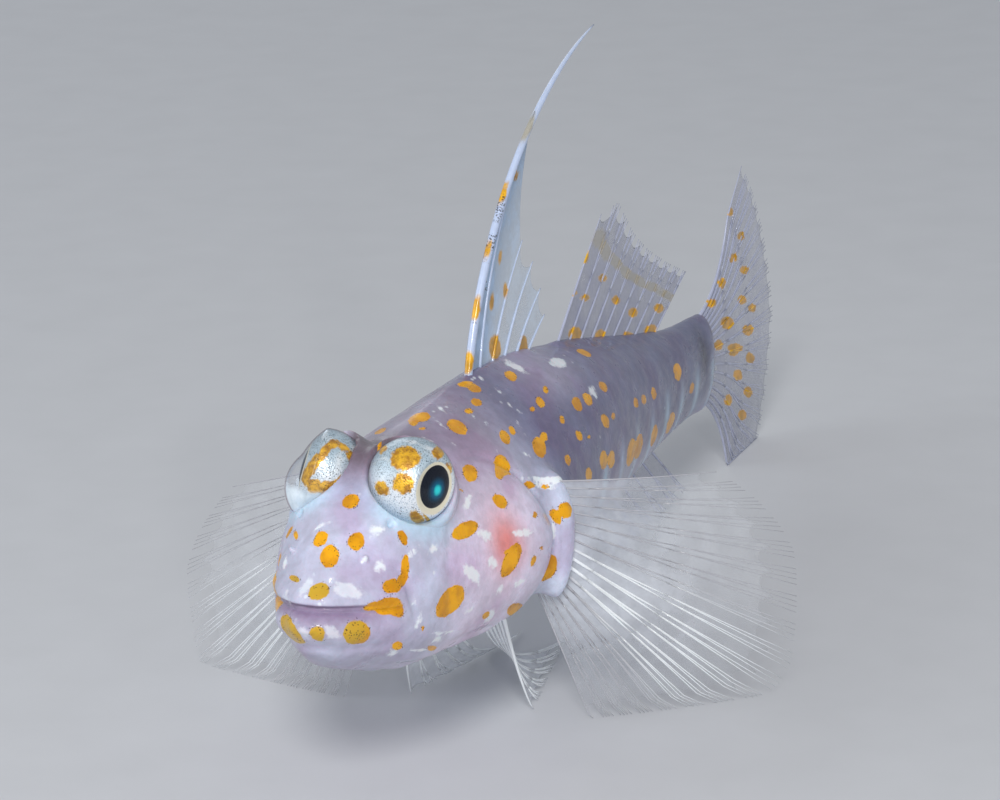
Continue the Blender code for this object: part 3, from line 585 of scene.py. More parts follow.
skinLook = {
    "spot": (0.90, 0.43, 0.003), "spotDeep": (0.66, 0.28, 0.002), "spotDull": (0.56, 0.38, 0.035),
    # fleck: white of the skin's silvery flecks and of its painted glints
    # groove: painted shade between the eyes
    "dot": (0.03, 0.02, 0.015), "fleckAndGlint": (0.93, 0.97, 1.0), "shadeBetweenEyes": (0.115, 0.092, 0.105),
    "face": (0.50, 0.50, 0.63), "cheek": (0.64, 0.56, 0.69), "gill": (0.80, 0.22, 0.17),
    "nape": (0.29, 0.255, 0.34), "trunk": (0.155, 0.155, 0.25), "tail": (0.13, 0.14, 0.23),
    # mouth: the mauve inside of the mouth, also used as painted shade in its crack, at its corners and on
    # the lower lip
    "belly": (0.60, 0.64, 0.76), "underEye": (0.48, 0.66, 0.80), "mouthAndShade": (0.27, 0.19, 0.31),
    "finBase": (0.62, 0.66, 0.80), "blotch": (0.03, 0.03, 0.06),
    "barStart": 32.5, "barGap": 3.9,
}


def blend(a, b, t):
    return a + (np.array(b) - a) * np.clip(t, 0, 1)[:, None]


def skinTint(p):
    s, x, z = p.T
    c = skinLook
    tint = np.tile(np.array(c["face"]), (len(p), 1))
    tint = blend(tint, c["cheek"], smoothStep(s, 5, 9) * smoothStep(s, 17, 14))
    tint = blend(tint, c["nape"], smoothStep(z, 1.5, 5.5) * smoothStep(s, 7.5, 11))
    tint = blend(tint, c["trunk"], smoothStep(s, 15, 21) * smoothStep(z, -4.5, 0.5))
    tint = blend(tint, c["belly"], smoothStep(z, -2.8, -5.4) * smoothStep(s, 14, 20))
    tint = blend(tint, c["tail"], smoothStep(s, 34, 50) * smoothStep(z, -4.0, -1.0) * 0.9)
    tint = blend(tint, c["cheek"], 0.34 * bump(s, 26.0, 4.0) * smoothStep(z, 3.4, 5.6))
    tint = blend(tint, c["blotch"], 0.95 * bump(s, 53.9, 1.0) * bump(z, 0.9, 1.4))
    gill = bump(s, 11.7, 1.3) * bump(z, -0.1, 1.5) * (np.abs(x) > 3)
    tint = blend(tint, c["gill"], 0.85 * gill)
    e = eyes["centre"]
    far = np.sqrt((s - e[0]) ** 2 + (np.abs(x) - e[1]) ** 2 + (z - e[2]) ** 2)
    under = smoothStep(far, 4.1, 2.5) * smoothStep(z - e[2], 1.0, -1.2) * smoothStep(s, 9.0, 6.2)
    tint = blend(tint, c["underEye"], 0.9 * under)
    far = np.sqrt(((s - 18.4) / 1.9) ** 2 + ((z + 1.4) / 3.4) ** 2)  # where the pectoral fin grows out
    tint = blend(tint, c["finBase"], 0.85 * smoothStep(far, 1.25, 0.6) * smoothStep(np.abs(x), 4.2, 5.2))
    # painted shade: the underside of the head's front is darkened by up to 18%
    tint *= 1 - 0.18 * (smoothStep(z, -2.4, -4.2) * smoothStep(s, 8, 4))[:, None]
    shadeBetweenEyes = smoothStep(np.abs(x), 2.1, 0.9) * smoothStep(z, 2.4, 3.6)  # painted shade in the groove between the eyes
    shadeBetweenEyes *= smoothStep(s, 4.4, 6.2) * smoothStep(s, 12.5, 9.0)
    tint = blend(tint, c["shadeBetweenEyes"], 0.9 * shadeBetweenEyes)
    # the mouth's mauve inside shows in its crack; painted shade darkens the crack, the crease at the
    # corners and the lower lip under the upper one
    above = mouthHeight(s, z)
    slitAndShade = smoothStep(above, 0.5, 0.3) * smoothStep(above, -0.75, -0.1) * smoothStep(s, 2.8, 1.0)
    slitAndShade = np.maximum(slitAndShade, 0.7 * bump(above, 0.0, 0.14) * smoothStep(s, 3.7, 3.2))
    tint = blend(tint, c["mouthAndShade"], 0.85 * slitAndShade)
    lipShade = bump(above, -0.62, 0.55) * smoothStep(s, 3.0, 1.2) * smoothStep(np.abs(x - 0.9), 2.0, 0.8)
    tint = blend(tint, c["mouthAndShade"], 0.45 * lipShade)
    bars = 0.5 + 0.5 * np.cos((s + 0.15 * z - c["barStart"]) * 2 * math.pi / c["barGap"])
    bars = bars**5 * smoothStep(s, 20, 26) * smoothStep(z, 1.2, -0.8) * smoothStep(z, -5.4, -3.6)
    tint = blend(tint, c["underEye"], 0.6 * bars)
    return tint


def makeSkin():
    mesh = ballMesh(body["around"], body["along"], 1.0)
    spots = np.array([v.co for v in mesh.verts])
    step = np.arccos(np.clip(spots[:, 2], -1, 1)) / math.pi  # 0 at the snout, 1 at the tail
    angle = np.arctan2(spots[:, 1], spots[:, 0])
    hub, cap = 4.6, 0.30  # the snout's rays fan out from one point, the rest leave the axis
    fan = np.clip(step / cap, 0, 1) * math.pi / 2
    t = np.clip((step - cap) / (1 - cap), 0, 1)
    s0 = hub + (body["length"] - hub) * (0.62 * t + 0.38 * t**2)
    s0 = np.where(step <= cap, hub, s0)
    tail = smoothStep(t, 0.985, 1.0)
    way = np.stack([-np.cos(fan), np.sin(fan) * np.cos(angle), np.sin(fan) * np.sin(angle)], -1)
    top, bottom, *_ = bodySection(s0)
    base = np.stack([s0, 0 * s0, np.where(step <= cap, -1.4, 0.5 * (top + bottom))], -1)
    near, far = np.zeros(len(s0)), np.full(len(s0), 9.5)
    found = np.zeros(len(s0), bool)
    for reach in np.arange(0.2, 9.6, 0.2):  # from inside out, the first point past the skin
        outside = skinField(*(base + way * reach).T) > 0
        fresh = outside & ~found
        near[fresh] = reach - 0.2
        far[fresh] = reach
        found |= outside
    for _ in range(12):
        middle = (near + far) / 2
        inside = skinField(*(base + way * middle[:, None]).T) < 0
        near, far = np.where(inside, middle, near), np.where(inside, far, middle)
    reach = (near + far) / 2
    trunkward = smoothStep(s0, 17.5, 20.5) * smoothStep(s0, 57.5, 55.5)
    reach += scaleRelief(s0, angle) * trunkward
    reach *= 1 - tail
    p = base + way * reach[:, None]
    for vert, spot in zip(mesh.verts, placeAll(*p.T)):
        vert.co = spot
    skin = makeObject("skin", mesh, skinMaterial(), turn=True)
    normals = np.zeros(len(p) * 3)
    skin.data.vertex_normals.foreach_get("vector", normals)
    normals = normals.reshape(-1, 3)[:, [1, 0, 2]]
    for name in ("spots", "flecksAndGlints"):
        marks = list(markings[name]) + mirrored(markings[name], 5)
        addAttribute(skin, name, spotDistance(p, normals, marks))
    addAttribute(skin, "tint", skinTint(p))
    addAttribute(skin, "muzzle", smoothStep(p[:, 0], 1.9, 1.0) * smoothStep(p[:, 2], 0.6, 0.0))
    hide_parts("head", "lower_jaw", "gill_cover_left", "gill_cover_right",
                "trunk", "tail_stalk")


def skinMaterial():
    paint = Paint("goby_skin")
    tint, spot = paint.value("tint", "Color"), paint.value("spots")
    shine, muzzle = paint.value("flecksAndGlints"), paint.value("muzzle")
    # clouds of pale tissue under the skin, and darker flesh between them
    cloud = paint.ramp(paint.noise(420.0, 4.0, 0.55), 0.40, 0.70)
    base = paint.mix(cloud, tint, (1.20, 1.24, 1.24), "MULTIPLY")
    dark = paint.ramp(paint.noise(260.0, 3.0), 0.55, 0.35)
    base = paint.mix(dark, base, (0.94, 0.82, 0.90), "MULTIPLY")
    # fine grain: pale threads and dusky cells
    grain = paint.ramp(paint.noise(1900.0, 5.0, 0.62), 0.35, 0.65)
    base = paint.mix(grain, base, (1.12, 1.12, 1.12), "MULTIPLY")
    line = paint.ramp(paint.cells(1300.0, "DISTANCE_TO_EDGE"), 0.08, 0.0)
    base = paint.mix(paint.times(line, 0.06), base, (0.46, 0.36, 0.46))
    # small silvery flecks, scattered and in patches, and the listed white marks, partly real flecks and
    # partly painted glints of light on the wet skin
    silver = paint.ramp(paint.cells(1500.0), 0.22, 0.08)
    silver = paint.times(silver, paint.ramp(paint.noise(330.0, 2.0), 0.55, 0.68))
    rough = paint.minus(paint.noise(2600.0, 3.0, 0.6), 0.5)
    ragged = paint.plus(shine, paint.times(rough, 0.85))
    bright = paint.minus(0.82, paint.times(muzzle, 0.34))
    shine = paint.times(paint.ramp(ragged, -0.05, 0.24), bright)
    silver = paint.most(paint.times(silver, 0.5), shine)
    base = paint.mix(silver, base, skinLook["fleckAndGlint"])
    # spots with uneven, speckled edges
    edge = paint.plus(spot, paint.times(rough, 0.26))
    mask = paint.ramp(edge, -0.02, 0.045)
    deep = paint.ramp(paint.noise(900.0, 3.0), 0.35, 0.65)
    yolk = paint.mix(deep, skinLook["spotDeep"], skinLook["spot"])
    yolk = paint.mix(paint.times(muzzle, 0.75), yolk, skinLook["spotDull"])
    base = paint.mix(mask, base, yolk)
    # black pinprick cells round the spots' edges
    dots = paint.ramp(paint.cells(8500.0), 0.34, 0.22)
    ring = paint.times(paint.ramp(spot, -0.14, -0.02), paint.ramp(spot, 0.34, 0.04))
    ring = paint.most(ring, paint.times(muzzle, mask))
    thin = paint.ramp(paint.noise(2000.0, 1.0), 0.44, 0.52)
    dots = paint.times(dots, paint.times(ring, thin))
    base = paint.mix(dots, base, skinLook["dot"])
    sheen = paint.ramp(paint.noise(700.0, 3.0), 0.3, 0.7)
    small, broad = paint.noise(3200.0, 4.0, 0.6), paint.noise(800.0, 2.0)
    return paint.finish({
        "Base Color": base, "Roughness": paint.plus(paint.times(sheen, 0.20), 0.26),
        "Subsurface Weight": 0.35, "Subsurface Radius": (1.0, 0.5, 0.55), "Subsurface Scale": 0.0005,
        "IOR": 1.42, "Specular IOR Level": 0.38,
        "Coat Weight": 0.42, "Coat Roughness": 0.08, "Coat IOR": 1.36,
        "Normal": paint.relief(paint.plus(paint.times(small, 0.5), broad), 0.6, 0.00007),
        "Coat Normal": paint.relief(broad, 0.25, 0.00006),  # the wet film lies smoother
    })


makeSkin()
print("skin made")


# ---- eyes ----
eyeLook = {"pupil": 1.13, "ring": 1.34, "irisDepth": {1: 1.62, -1: 1.34}, "dome": {1: 0.0, -1: 0.19},
           # glow: where the pupil's painted teal glint sits
           "lensSink": {1: 0.10, -1: 0.42}, "dish": {1: 0.12, -1: 0.18}, "glow": (-0.04, -0.12),
           "ringShift": (-0.09, -0.06), "veil": {1: 0.03, -1: 0.08}, "rim": {1: 0.22, -1: 0.55}}


def eyeTurn(side):
    way = Vector(eyes["looks"][side]).normalized()
    return way.to_track_quat("Z", "Y").to_matrix().to_4x4()


def eyeMiddle(side):
    s, x, z = eyes["centre"]
    return place(s, side * x, z)


def irisMaterial(side):
    paint = Paint("iris_left" if side > 0 else "iris_right")
    out, gold, height = (paint.value(name) for name in ("fromPupil", "gold", "height"))
    grain = paint.cells(12000.0)
    tone = paint.ramp(grain, 0.10, 0.50)
    # painted shade: the silver darkens low on the eye and pales at its top, as if lit from above
    lightByHeight = paint.ramp(height, -0.25, 0.75)
    low = paint.mix(lightByHeight, (0.38, 0.48, 0.56), (0.08, 0.14, 0.19))
    high = paint.mix(lightByHeight, (0.88, 0.92, 0.97), (0.50, 0.62, 0.70))
    silver = paint.mix(tone, low, high)
    cloud = paint.ramp(paint.noise(1100.0, 4.0), 0.48, 0.66)
    silver = paint.mix(paint.times(cloud, 0.7), silver, (0.92, 0.95, 0.97))
    rough = paint.minus(paint.noise(4200.0, 4.0, 0.65), 0.5)
    edge = paint.plus(gold, paint.times(rough, 0.45))
    goldMask = paint.ramp(edge, -0.03, 0.10)
    speck = paint.ramp(paint.noise(2600.0, 4.0, 0.6), 0.36, 0.64)
    golden = paint.mix(speck, (0.46, 0.20, 0.004), (0.93, 0.52, 0.02))
    base = paint.mix(goldMask, silver, golden)
    dots = paint.ramp(paint.cells(9500.0), 0.30, 0.20)  # black pinprick cells
    thin = paint.ramp(paint.noise(1500.0, 2.0), 0.46, 0.58)
    base = paint.mix(paint.times(dots, thin), base, (0.012, 0.014, 0.016))
    ragged = paint.plus(out, paint.times(rough, 0.16))
    ring = paint.ramp(ragged, eyeLook["ring"] + 0.05, eyeLook["ring"] - 0.03)
    base = paint.mix(ring, base, (0.93, 0.86, 0.66))
    return paint.finish({"Base Color": base, "Metallic": 0.25, "Roughness": 0.34,
                         "Normal": paint.relief(grain, 0.4, 0.00004)})


def lensMaterial():
    paint = Paint("pupil_lens")
    # painted reflection: a teal glint in the pupil, with a dark blue haze round it
    streak = paint.minus(paint.noise(5200.0, 2.0), 0.5)
    glow = paint.plus(paint.value("glow"), paint.times(streak, 0.12))
    haze = paint.mix(paint.ramp(glow, 0.10, 0.80), (0.002, 0.003, 0.010), (0.0, 0.10, 0.20))
    glintCore = paint.mix(paint.ramp(glow, 0.66, 0.98), haze, (0.02, 0.70, 0.72))
    return paint.finish({"Base Color": glintCore, "Roughness": 0.30, "Specular IOR Level": 0.15})


def corneaMaterial(side):
    paint = Paint("clear_cornea_left" if side > 0 else "clear_cornea_right")
    milk = paint.value("milk")
    cloud = paint.noise(1400.0, 4.0)
    film = paint.mix(cloud, (0.66, 0.82, 0.95), (0.92, 0.97, 1.0))
    facing = paint.add("LayerWeight", {"Blend": 0.50}).outputs["Facing"]
    rim = paint.ramp(facing, 0.66, 0.84)  # painted dark rim: the dome's outline is darkened, standing in for the dark edge a clear dome shows by refraction
    paint.finish({"Base Color": paint.mix(rim, film, (0.30, 0.23, 0.27)), "Roughness": 0.05,
                  "Metallic": paint.ramp(milk, 0.12, 0.02)})
    film = paint.times(paint.ramp(facing, 0.45, 0.95), eyeLook["rim"][side])
    haze = paint.times(milk, paint.plus(cloud, 0.4))
    film = paint.plus(paint.plus(film, eyeLook["veil"][side]), haze, clamp=True)
    clear = paint.add("BsdfTransparent", {}).outputs[0]
    milky = paint.nodes["Principled BSDF"].outputs[0]
    both = paint.add("MixShader", {0: film, 1: clear, 2: milky}).outputs[0]
    paint.feed(paint.nodes["Material Output"], {"Surface": both})
    return paint.material


def eyePiece(name, mesh, side, material):
    where = Matrix.Translation(eyeMiddle(side)) @ eyeTurn(side) @ Matrix.Scale(0.001, 4)
    bmesh.ops.transform(mesh, matrix=where, verts=mesh.verts)
    word = "left" if side > 0 else "right"
    piece = makeObject(name + "_" + word, mesh, material)
    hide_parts("eye_" + word)
    return piece


def ballReach(ways, offset, radius):  # how far a ball's far side lies along each way
    near = ways @ np.array(offset)
    return near + np.sqrt(np.maximum(near**2 - np.dot(offset, offset) + radius**2, 0))


def makeEye(side):
    radius, depth, pupil = eyes["radius"], eyeLook["irisDepth"][side], eyeLook["pupil"]
    dome = eyeLook["dome"][side]
    mesh = ballMesh(112, 84, radius)
    for vert in mesh.verts:  # the front of the ball is flat, and dished round the pupil
        out = math.hypot(vert.co.x, vert.co.y)
        if vert.co.z > 0:
            dish = eyeLook["dish"][side] * max(0.0, 1 - (out / (pupil + 0.2)) ** 2)
            vert.co.z = min(vert.co.z, depth - dome * out**2 - dish)
    rx, ry = eyeLook["ringShift"]
    out = np.array([math.hypot(v.co.x - rx, v.co.y - ry) if v.co.z > 0 else 9.0 for v in mesh.verts])
    globe = eyePiece("eyeball", mesh, side, irisMaterial(side))
    c = np.array(eyes["centre"]) * (1, side, 1)
    spots = fishAll([v.co for v in globe.data.vertices])
    ways = (spots - c) / np.linalg.norm(spots - c, axis=1)[:, None]
    addAttribute(globe, "fromPupil", out)
    addAttribute(globe, "height", ways[:, 2])
    marks = markings["eyeLeft"] if side > 0 else markings["eyeRight"]
    addAttribute(globe, "gold", spotDistance(c + ways * radius, ways, marks))

    mesh = ballMesh(64, 40, pupil)
    for vert in mesh.verts:
        vert.co.z = vert.co.z * 0.26 + depth - eyeLook["lensSink"][side]
    # painted reflection: the teal glint's place in the pupil
    gx, gy = eyeLook["glow"]
    glow = np.array([math.exp(-((v.co.x - gx) ** 2 + (v.co.y - gy) ** 2) / 0.30) for v in mesh.verts])
    lens = eyePiece("pupil", mesh, side, lensMaterial())
    addAttribute(lens, "glow", glow)

    # one clear shell over the ball, the dome in front and the clear hood of skin below
    mesh = ballMesh(96, 72, 1.0)
    local = np.array([v.co for v in mesh.verts])
    turn = np.array(eyeTurn(side).to_3x3())
    ways = fishAll(local @ turn.T * 0.001) - fishAll(np.zeros((1, 3)))
    *hood, size = eyes["hoods"][side]
    front, bulge = np.maximum(local[:, 2], 0.05), dome * (1 - local[:, 2] ** 2)
    flat = 2 * (depth + 0.06) / (front + np.sqrt(front**2 + 4 * bulge * (depth + 0.06)))
    reaches = [np.minimum(radius + 0.03, flat), ballReach(ways, hood, size)]
    if side > 0:
        reaches.append(ballReach(local, (0, 0, eyes["corneaOffset"]), eyes["corneaRadius"]))
    reach = sum(np.exp(r * 14) for r in reaches)
    reach = np.minimum(np.log(reach) / 14, np.maximum.reduce(reaches) + 0.05)
    for vert, r in zip(mesh.verts, reach):
        vert.co *= r
    clear = eyePiece("cornea", mesh, side, corneaMaterial(side))
    low = smoothStep(reaches[1] - np.maximum(reaches[0], reaches[-1] if side > 0 else 0), -0.02, 0.20)
    if side > 0:
        low *= 0.40 * smoothStep(-ways[:, 2], 0.55, 0.90) * smoothStep(ways[:, 1], 0.85, 0.3)
    else:
        low = 0.8 * smoothStep(-ways[:, 2], 0.16, 0.36) * smoothStep(-ways[:, 1], 0.93, 0.75)
    addAttribute(clear, "milk", low)


for side in (1, -1):
    makeEye(side)
print("eyes made")


# ---- fins: each ray is a path from its root, and the web hangs between neighbours ----
def leaningPath(base, length, lean, gain=62.0, span=24.0, power=0.75, down=False):
    steps = 48
    spots = [np.array(base)]
    for i in range(steps):
        along = (i + 0.5) / steps * length
        angle = math.radians(lean + gain * (along / span) ** power)  # it leans back more and more
        rise = -math.cos(angle) if down else math.cos(angle)
        spots.append(spots[-1] + np.array((0, math.sin(angle), rise)) * length / steps * 0.001)
    spots = np.array(spots)

    def path(t):
        at = min(max(t, 0.0), 1.0) * steps
        i = min(int(at), steps - 1)
        return spots[i] + (spots[i + 1] - spots[i]) * (at - i)

    return path


def mixValue(a, b, t):
    return a + (b - a) * t


def threeMix(values, t):
    first, middle, last = values
    return mixValue(first, middle, t * 2) if t < 0.5 else mixValue(middle, last, t * 2 - 1)


def topOf(s):
    return float(bodySection(np.float64(s))[0])


def bottomOf(s):
    return float(bodySection(np.float64(s))[1])


def firstDorsalRays():
    lengths, leans = (26.0, 15.5, 7.6, 6.4, 4.9, 3.2), (14.0, 9.5, 24.0, 32.0, 42.0, 52.0)
    return [leaningPath(place(s, 0, topOf(s) - 0.5), length + 0.5, lean)
            for s, length, lean in zip(np.linspace(20, 28, 6), lengths, leans)]


def secondDorsalRays():
    rays = []
    for t, length in zip(np.linspace(0, 1, 10), (9.5, 10.6, 9.7, 8.8, 8.2, 7.7, 7.4, 7.1, 6.9, 6.6)):
        s = mixValue(32.5, 48.0, t)
        rays.append(leaningPath(place(s, 0, topOf(s) - 0.5), length + 0.5, mixValue(50.0, 66.0, t), gain=8))
    return rays


def analRays():
    rays = []
    for t in np.linspace(0, 1, 9):
        s = mixValue(33.0, 47.0, t)
        length = mixValue(8.1, 10.0, t) * (0.7 if t == 0 else 0.86)
        rays.append(leaningPath(place(s, 0, bottomOf(s) + 0.5), length + 0.5, mixValue(38.0, 50.0, t),
                                gain=10, down=True))
    return rays


def caudalRays():
    rays = []
    for t in np.linspace(0, 1, 17):
        angle = math.radians(mixValue(47.0, -46.0, t))
        length = threeMix((11.2, 14.3, 12.4), t)
        root = 2.7 * (1 - 2 * t)

        def ray(v, angle=angle, length=length, root=root):
            bend = angle * min(0.35 + v, 1)
            return placeAll(57 + length * v * math.cos(bend), 0.0, root + length * v * math.sin(bend))

        rays.append(ray)
    return rays


def pectoralRays(side):
    sweep = math.radians(30.0 if side > 0 else 6.0)
    fan = (3.0, -68.0) if side > 0 else (-13.0, -72.0)
    rays = []
    for t in np.linspace(0, 1, 18):
        s0, x0, z0 = (mixValue(a, b, t) for a, b in zip((17.9, 5.6, 1.7), (18.6, 4.6, -4.6)))
        upper = max(0.0, 1 - t / 0.25)
        angle = math.radians(mixValue(*fan, t) - 4.0 * upper**2)
        length = threeMix((12.5, 16.5, 11.0), t) * (1 - 0.26 * upper**1.3)

        def ray(v, s0=s0, x0=x0, z0=z0, angle=angle, length=length):
            out, rise = length * v * math.cos(angle), length * v * math.sin(angle)
            back = sweep + 0.16 * v
            return placeAll(s0 + out * math.sin(back), side * (x0 + out * math.cos(back)), z0 + rise)

        free = max(v for v in np.linspace(0, 1, 101) if ray(v)[2] > 0)  # the last bit lies along the floor
        rays.append(lambda v, ray=ray, end=min(1.06 * free, 1.0): ray(v * end))
    return rays


def floorLevel(s):
    pitch = math.radians(stance["pitch"])
    return ((s - stance["pivot"]) * math.sin(pitch) - stance["axisHeight"]) / math.cos(pitch)


def pelvicRays(side):
    rays = []
    for t in np.linspace(0, 1, 6):
        base = [mixValue(a, b, t) for a, b in zip((17.6, 2.9, -5.2), (19.4, 0.7, -5.4))]
        tip = [mixValue(a, b, t**1.1) for a, b in zip((20.5, 3.6), (31.0, 1.4))]
        floor = floorLevel(tip[0]) + 0.12
        bow = mixValue(0.15, 0.75, t)

        def ray(v, base=base, tip=tip, floor=floor, bow=bow):
            level = v * (1 - bow) + bow * v * v
            drop = 1 - (1 - v) ** (1 + 1.4 * bow)
            return placeAll(mixValue(base[0], tip[0], level), side * mixValue(base[1], tip[1], v),
                            mixValue(base[2], floor, drop))

        rays.append(ray)
    return rays


def finSpot(rays, column, t):  # a point of the fin's sheet: column counts rays, t runs root to tip
    i = min(max(int(column), 0), len(rays) - 2)
    part = column - i
    return rays[i](t) * (1 - part) + rays[i + 1](t) * part


def keepOffFloor(spot, least=0.00003, soft=0.00004):  # bends smoothly along the floor
    drop = (spot[2] - least) / soft
    rise = soft * (math.log1p(math.exp(-abs(drop))) + max(drop, 0.0))
    return np.array((spot[0], spot[1], least + rise))


def finMarks(obj):  # gold and black blotches of the upright fins
    spots = fishAll([v.co for v in obj.data.vertices]) * (1, 0, 1)
    sideways = np.tile((0.0, 1.0, 0.0), (len(spots), 1))
    for name, marks in (("gold", "finGold"), ("black", "finBlack"), ("band", "finBand")):
        addAttribute(obj, name, spotDistance(spots, sideways, markings[marks]))
    # the white bundle in the middle of a pectoral fin
    s, x, z = fishAll([v.co for v in obj.data.vertices]).T
    angle = np.degrees(np.arctan2(z + 1.4, np.hypot(s - 18.2, np.abs(x) - 5.1)))
    addAttribute(obj, "bundle", np.where(np.abs(x) < 4.5, 1.0, bump(angle, -40.0, 15.0)))


def finWeb(name, rays, look, material, node):
    count = len(rays)
    columns, rows = (count - 1) * look["perGap"], look["rows"]
    mesh = bmesh.new()
    bmesh.ops.create_grid(mesh, x_segments=columns, y_segments=rows, size=0.5)
    cover = mesh.verts.layers.float.new("cover")
    for vert in mesh.verts:
        u, v = vert.co.x + 0.5, vert.co.y + 0.5
        column = u * (count - 1)
        part = column - math.floor(column + 1e-6)
        reach = look["reach"] - look["notch"] * math.sin(math.pi * min(max(part, 0), 1)) ** 0.7
        vert[cover] = look["cover"](column, v)
        vert.co = keepOffFloor(finSpot(rays, min(column, count - 1), v * reach), soft=look["soft"])
    bmesh.ops.solidify(mesh, geom=mesh.faces[:], thickness=0.00005)
    web = makeObject(name, mesh, material, turn=True)
    finMarks(web)
    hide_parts(node)


def raySplines(rays, look):  # each ray forks once or twice towards its tip
    lines, last = [], len(rays) - 1

    def draw(i, start, end, steps, thick, thin, off=0.0, spread=0.0, power=1.0):
        line = []
        for t in np.linspace(start, end, steps):
            k = (t - start) / (end - start)
            column = min(max(i + off + spread * k, 0), last)
            line.append((finSpot(rays, column, t), mixValue(thick, thin, k**power)))
        lines.append(line)

    for i in range(len(rays)):
        thick, tip = look["radius"](i), look["tip"]
        if not look["forks"](i):
            stout = thick > 0.15
            draw(i, 0, 1, 40 if stout else 16, thick, tip, power=3 if stout else 1.2)
            continue
        first, second = look["forkAt"]
        draw(i, 0, first, 8, thick, thick * 0.66)
        for a in (-1, 1):
            draw(i, first, second, 5, thick * 0.6, thick * 0.4, spread=a * 0.15)
            for b in (-1, 1):
                draw(i, second, 1, 5, thick * 0.38, tip, off=a * 0.15, spread=b * 0.10 + a * 0.04)
    return lines


def finRays(name, rays, look, material, node):
    data = bpy.data.curves.new(name, "CURVE")
    data.dimensions = "3D"
    data.bevel_depth = 0.001
    data.bevel_resolution = 1
    data.use_fill_caps = True
    for line in raySplines(rays, look):
        spline = data.splines.new("POLY")
        spline.points.add(len(line) - 1)
        for point, (spot, radius) in zip(spline.points, line):
            point.co = (*keepOffFloor(spot, radius * 0.001, look["soft"]), 1)
            point.radius = radius
    drawn = bpy.data.objects.new(name + "_line", data)
    bpy.context.scene.collection.objects.link(drawn)
    bpy.context.view_layer.update()
    seen = drawn.evaluated_get(bpy.context.evaluated_depsgraph_get())
    mesh = bmesh.new()
    mesh.from_mesh(bpy.data.meshes.new_from_object(seen))
    bpy.data.objects.remove(drawn, do_unlink=True)
    bmesh.ops.remove_doubles(mesh, verts=mesh.verts, dist=1e-8)
    obj = makeObject(name, mesh, material, turn=True)
    finMarks(obj)
    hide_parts(node)
    return obj


def blotches(paint, base):  # the fins' gold, olive and black marks, and where they lie
    band, gold, black = (paint.value(name) for name in ("band", "gold", "black"))
    rough = paint.times(paint.minus(paint.noise(1500.0, 3.0, 0.6), 0.5), 0.45)
    olive = paint.times(paint.ramp(paint.plus(band, rough), -0.22, 0.22), 0.62)
    base = paint.mix(olive, base, (0.36, 0.27, 0.045))
    mask = paint.ramp(paint.plus(gold, rough), -0.07, 0.13)
    deep = paint.ramp(paint.noise(1200.0, 3.0), 0.35, 0.65)
    base = paint.mix(mask, base, paint.mix(deep, (0.60, 0.30, 0.006), (0.88, 0.47, 0.01)))
    dark = paint.ramp(paint.plus(black, rough), -0.08, 0.10)
    dusty = paint.ramp(paint.cells(9000.0), 0.56, 0.30)
    dark = paint.times(dark, paint.times(dusty, 0.85))
    return (paint.mix(dark, base, (0.03, 0.025, 0.03)),
            paint.most(paint.most(mask, dark), olive))


def webMaterial(name, colour, glow):
    paint = Paint(name)
    cover = paint.value("cover")
    cloud = paint.ramp(paint.noise(700.0, 4.0), 0.3, 0.7)
    base = paint.mix(cloud, tuple(v * 0.78 for v in colour), colour)
    base, solid = blotches(paint, base)
    thin = paint.times(cover, paint.plus(paint.times(cloud, 0.3), 0.7))
    return paint.finish({
        "Base Color": base, "Alpha": paint.most(thin, paint.times(solid, 0.8), clamp=True),
        "Subsurface Weight": glow,  # light shines through the thin web
        "Subsurface Radius": (1.0, 1.0, 1.0), "Subsurface Scale": 0.0006,
        "Roughness": 0.30, "IOR": 1.38,
        "Normal": paint.relief(cloud, 0.25, 0.00005),
    })


def rayMaterial(name, colour, bundled=None):
    paint = Paint(name)
    bands = paint.noise(2200.0, 2.0)
    base = paint.mix(bands, tuple(v * 0.78 for v in colour), colour)
    if bundled:
        bundle = paint.value("bundle")
        base = paint.mix(paint.ramp(bundle, 0.1, 0.6), base, bundled)
    return paint.finish({
        "Base Color": blotches(paint, base)[0], "Roughness": 0.25,
        "Subsurface Weight": 0.3, "Subsurface Radius": (1.0, 0.9, 0.9), "Subsurface Scale": 0.0003,
        "Coat Weight": 0.4, "Coat Roughness": 0.1,
    })


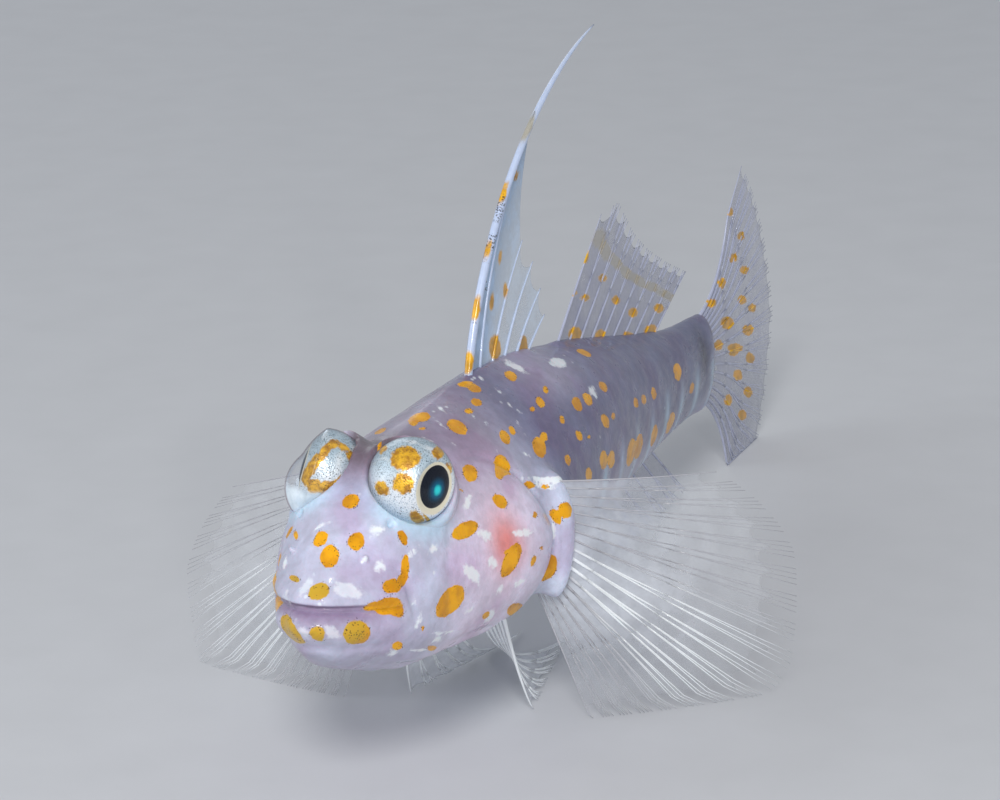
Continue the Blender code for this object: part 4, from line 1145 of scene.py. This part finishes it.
fins = {
    "pectoral": {
        "soft": 0.00020, "rows": 22, "perGap": 5, "reach": 0.90, "notch": 0.06,
        "forks": lambda i: i not in (0, 17), "forkAt": (0.20, 0.48), "tip": 0.014,
        "radius": lambda i: 0.055 + 0.085 * bump(i, 10.5, 3.2),
        # cover: the web is milky near its root and whitest round the white bundle, partly its own milkiness
        # and partly painted glow of light shining through the fin
        "cover": lambda u, v: 0.08 + 0.95 * (1 - v) ** 1.7 * (0.45 + 0.55 * bump(u, 10, 4.5))},
    "pelvic": {
        "soft": 0.00008, "rows": 20, "perGap": 6, "reach": 0.95, "notch": 0.08,
        "forks": lambda i: i > 0, "forkAt": (0.5, 0.78), "tip": 0.024,
        "radius": lambda i: 0.13, "cover": lambda u, v: 0.60 - 0.30 * v},
    "second": {
        "soft": 0.00004, "rows": 40, "perGap": 12, "reach": 0.97, "notch": 0.06,
        "forks": lambda i: i > 0, "forkAt": (0.5, 0.8), "tip": 0.024,
        "radius": lambda i: 0.10, "cover": lambda u, v: 0.72 - 0.22 * v},
    "anal": {
        "soft": 0.00006, "rows": 18, "perGap": 10, "reach": 0.96, "notch": 0.07,
        "forks": lambda i: i > 0, "forkAt": (0.5, 0.8), "tip": 0.024,
        "radius": lambda i: 0.10, "cover": lambda u, v: 0.40 - 0.18 * v},
    "caudal": {
        "soft": 0.00006, "rows": 48, "perGap": 8, "reach": 0.985, "notch": 0.025,
        "forks": lambda i: i not in (0, 16), "forkAt": (0.38, 0.68), "tip": 0.022,
        "radius": lambda i: 0.12, "cover": lambda u, v: 0.62 - 0.26 * v},
    "first": {
        "soft": 0.00004, "rows": 90, "perGap": 14, "reach": 0.97, "notch": 0.10,
        "forks": lambda i: False, "tip": 0.04,
        "radius": lambda i: 0.25 if i == 0 else 0.11,
        "cover": lambda u, v: 1.3 - 0.95 * min(max(u - 1.0, 0) / 1.1, 1)},
}


def makeFin(node, rays, kind, web, ray):
    finWeb(node + "_web", rays, fins[kind], web, node)
    finRays(node + "_rays", rays, fins[kind], ray, node)


def makeFins():
    clear = (webMaterial("clear_web", (0.86, 0.90, 0.97), 0.35),
             rayMaterial("pale_ray", (0.50, 0.50, 0.54), (0.93, 0.97, 1.0)))
    for side, word in ((1, "left"), (-1, "right")):
        makeFin("pectoral_fin_" + word, pectoralRays(side), "pectoral", *clear)
        makeFin("pelvic_fin_" + word, pelvicRays(side), "pelvic", *clear)
    dusky = webMaterial("dusky_web", (0.30, 0.31, 0.46), 0.12), rayMaterial("dusky_ray", (0.48, 0.51, 0.66))
    makeFin("second_dorsal_fin", secondDorsalRays(), "second", *dusky)
    makeFin("anal_fin", analRays(), "anal", *dusky)
    makeFin("caudal_fin", caudalRays(), "caudal", *dusky)


makeFins()
print("paired, second dorsal, anal and tail fins made")


def makeFirstDorsal():
    rays = firstDorsalRays()
    blade = webMaterial("first_dorsal_web", (0.62, 0.76, 0.93), 0.10)
    bone = rayMaterial("spine_bone", (0.60, 0.70, 0.92))
    long = rays[0]
    rays[0] = lambda t: long(t * 16.0 / 26.5)  # the web leaves the long spine where the second one ends
    finWeb("first_dorsal_web", rays, fins["first"], blade, "first_dorsal_fin")
    rays[0] = long
    spines = finRays("first_dorsal_spines", rays, fins["first"], bone, "first_dorsal_fin")
    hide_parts("first_dorsal_fin", "first_dorsal_filament")


makeFirstDorsal()
print("first dorsal fin made")
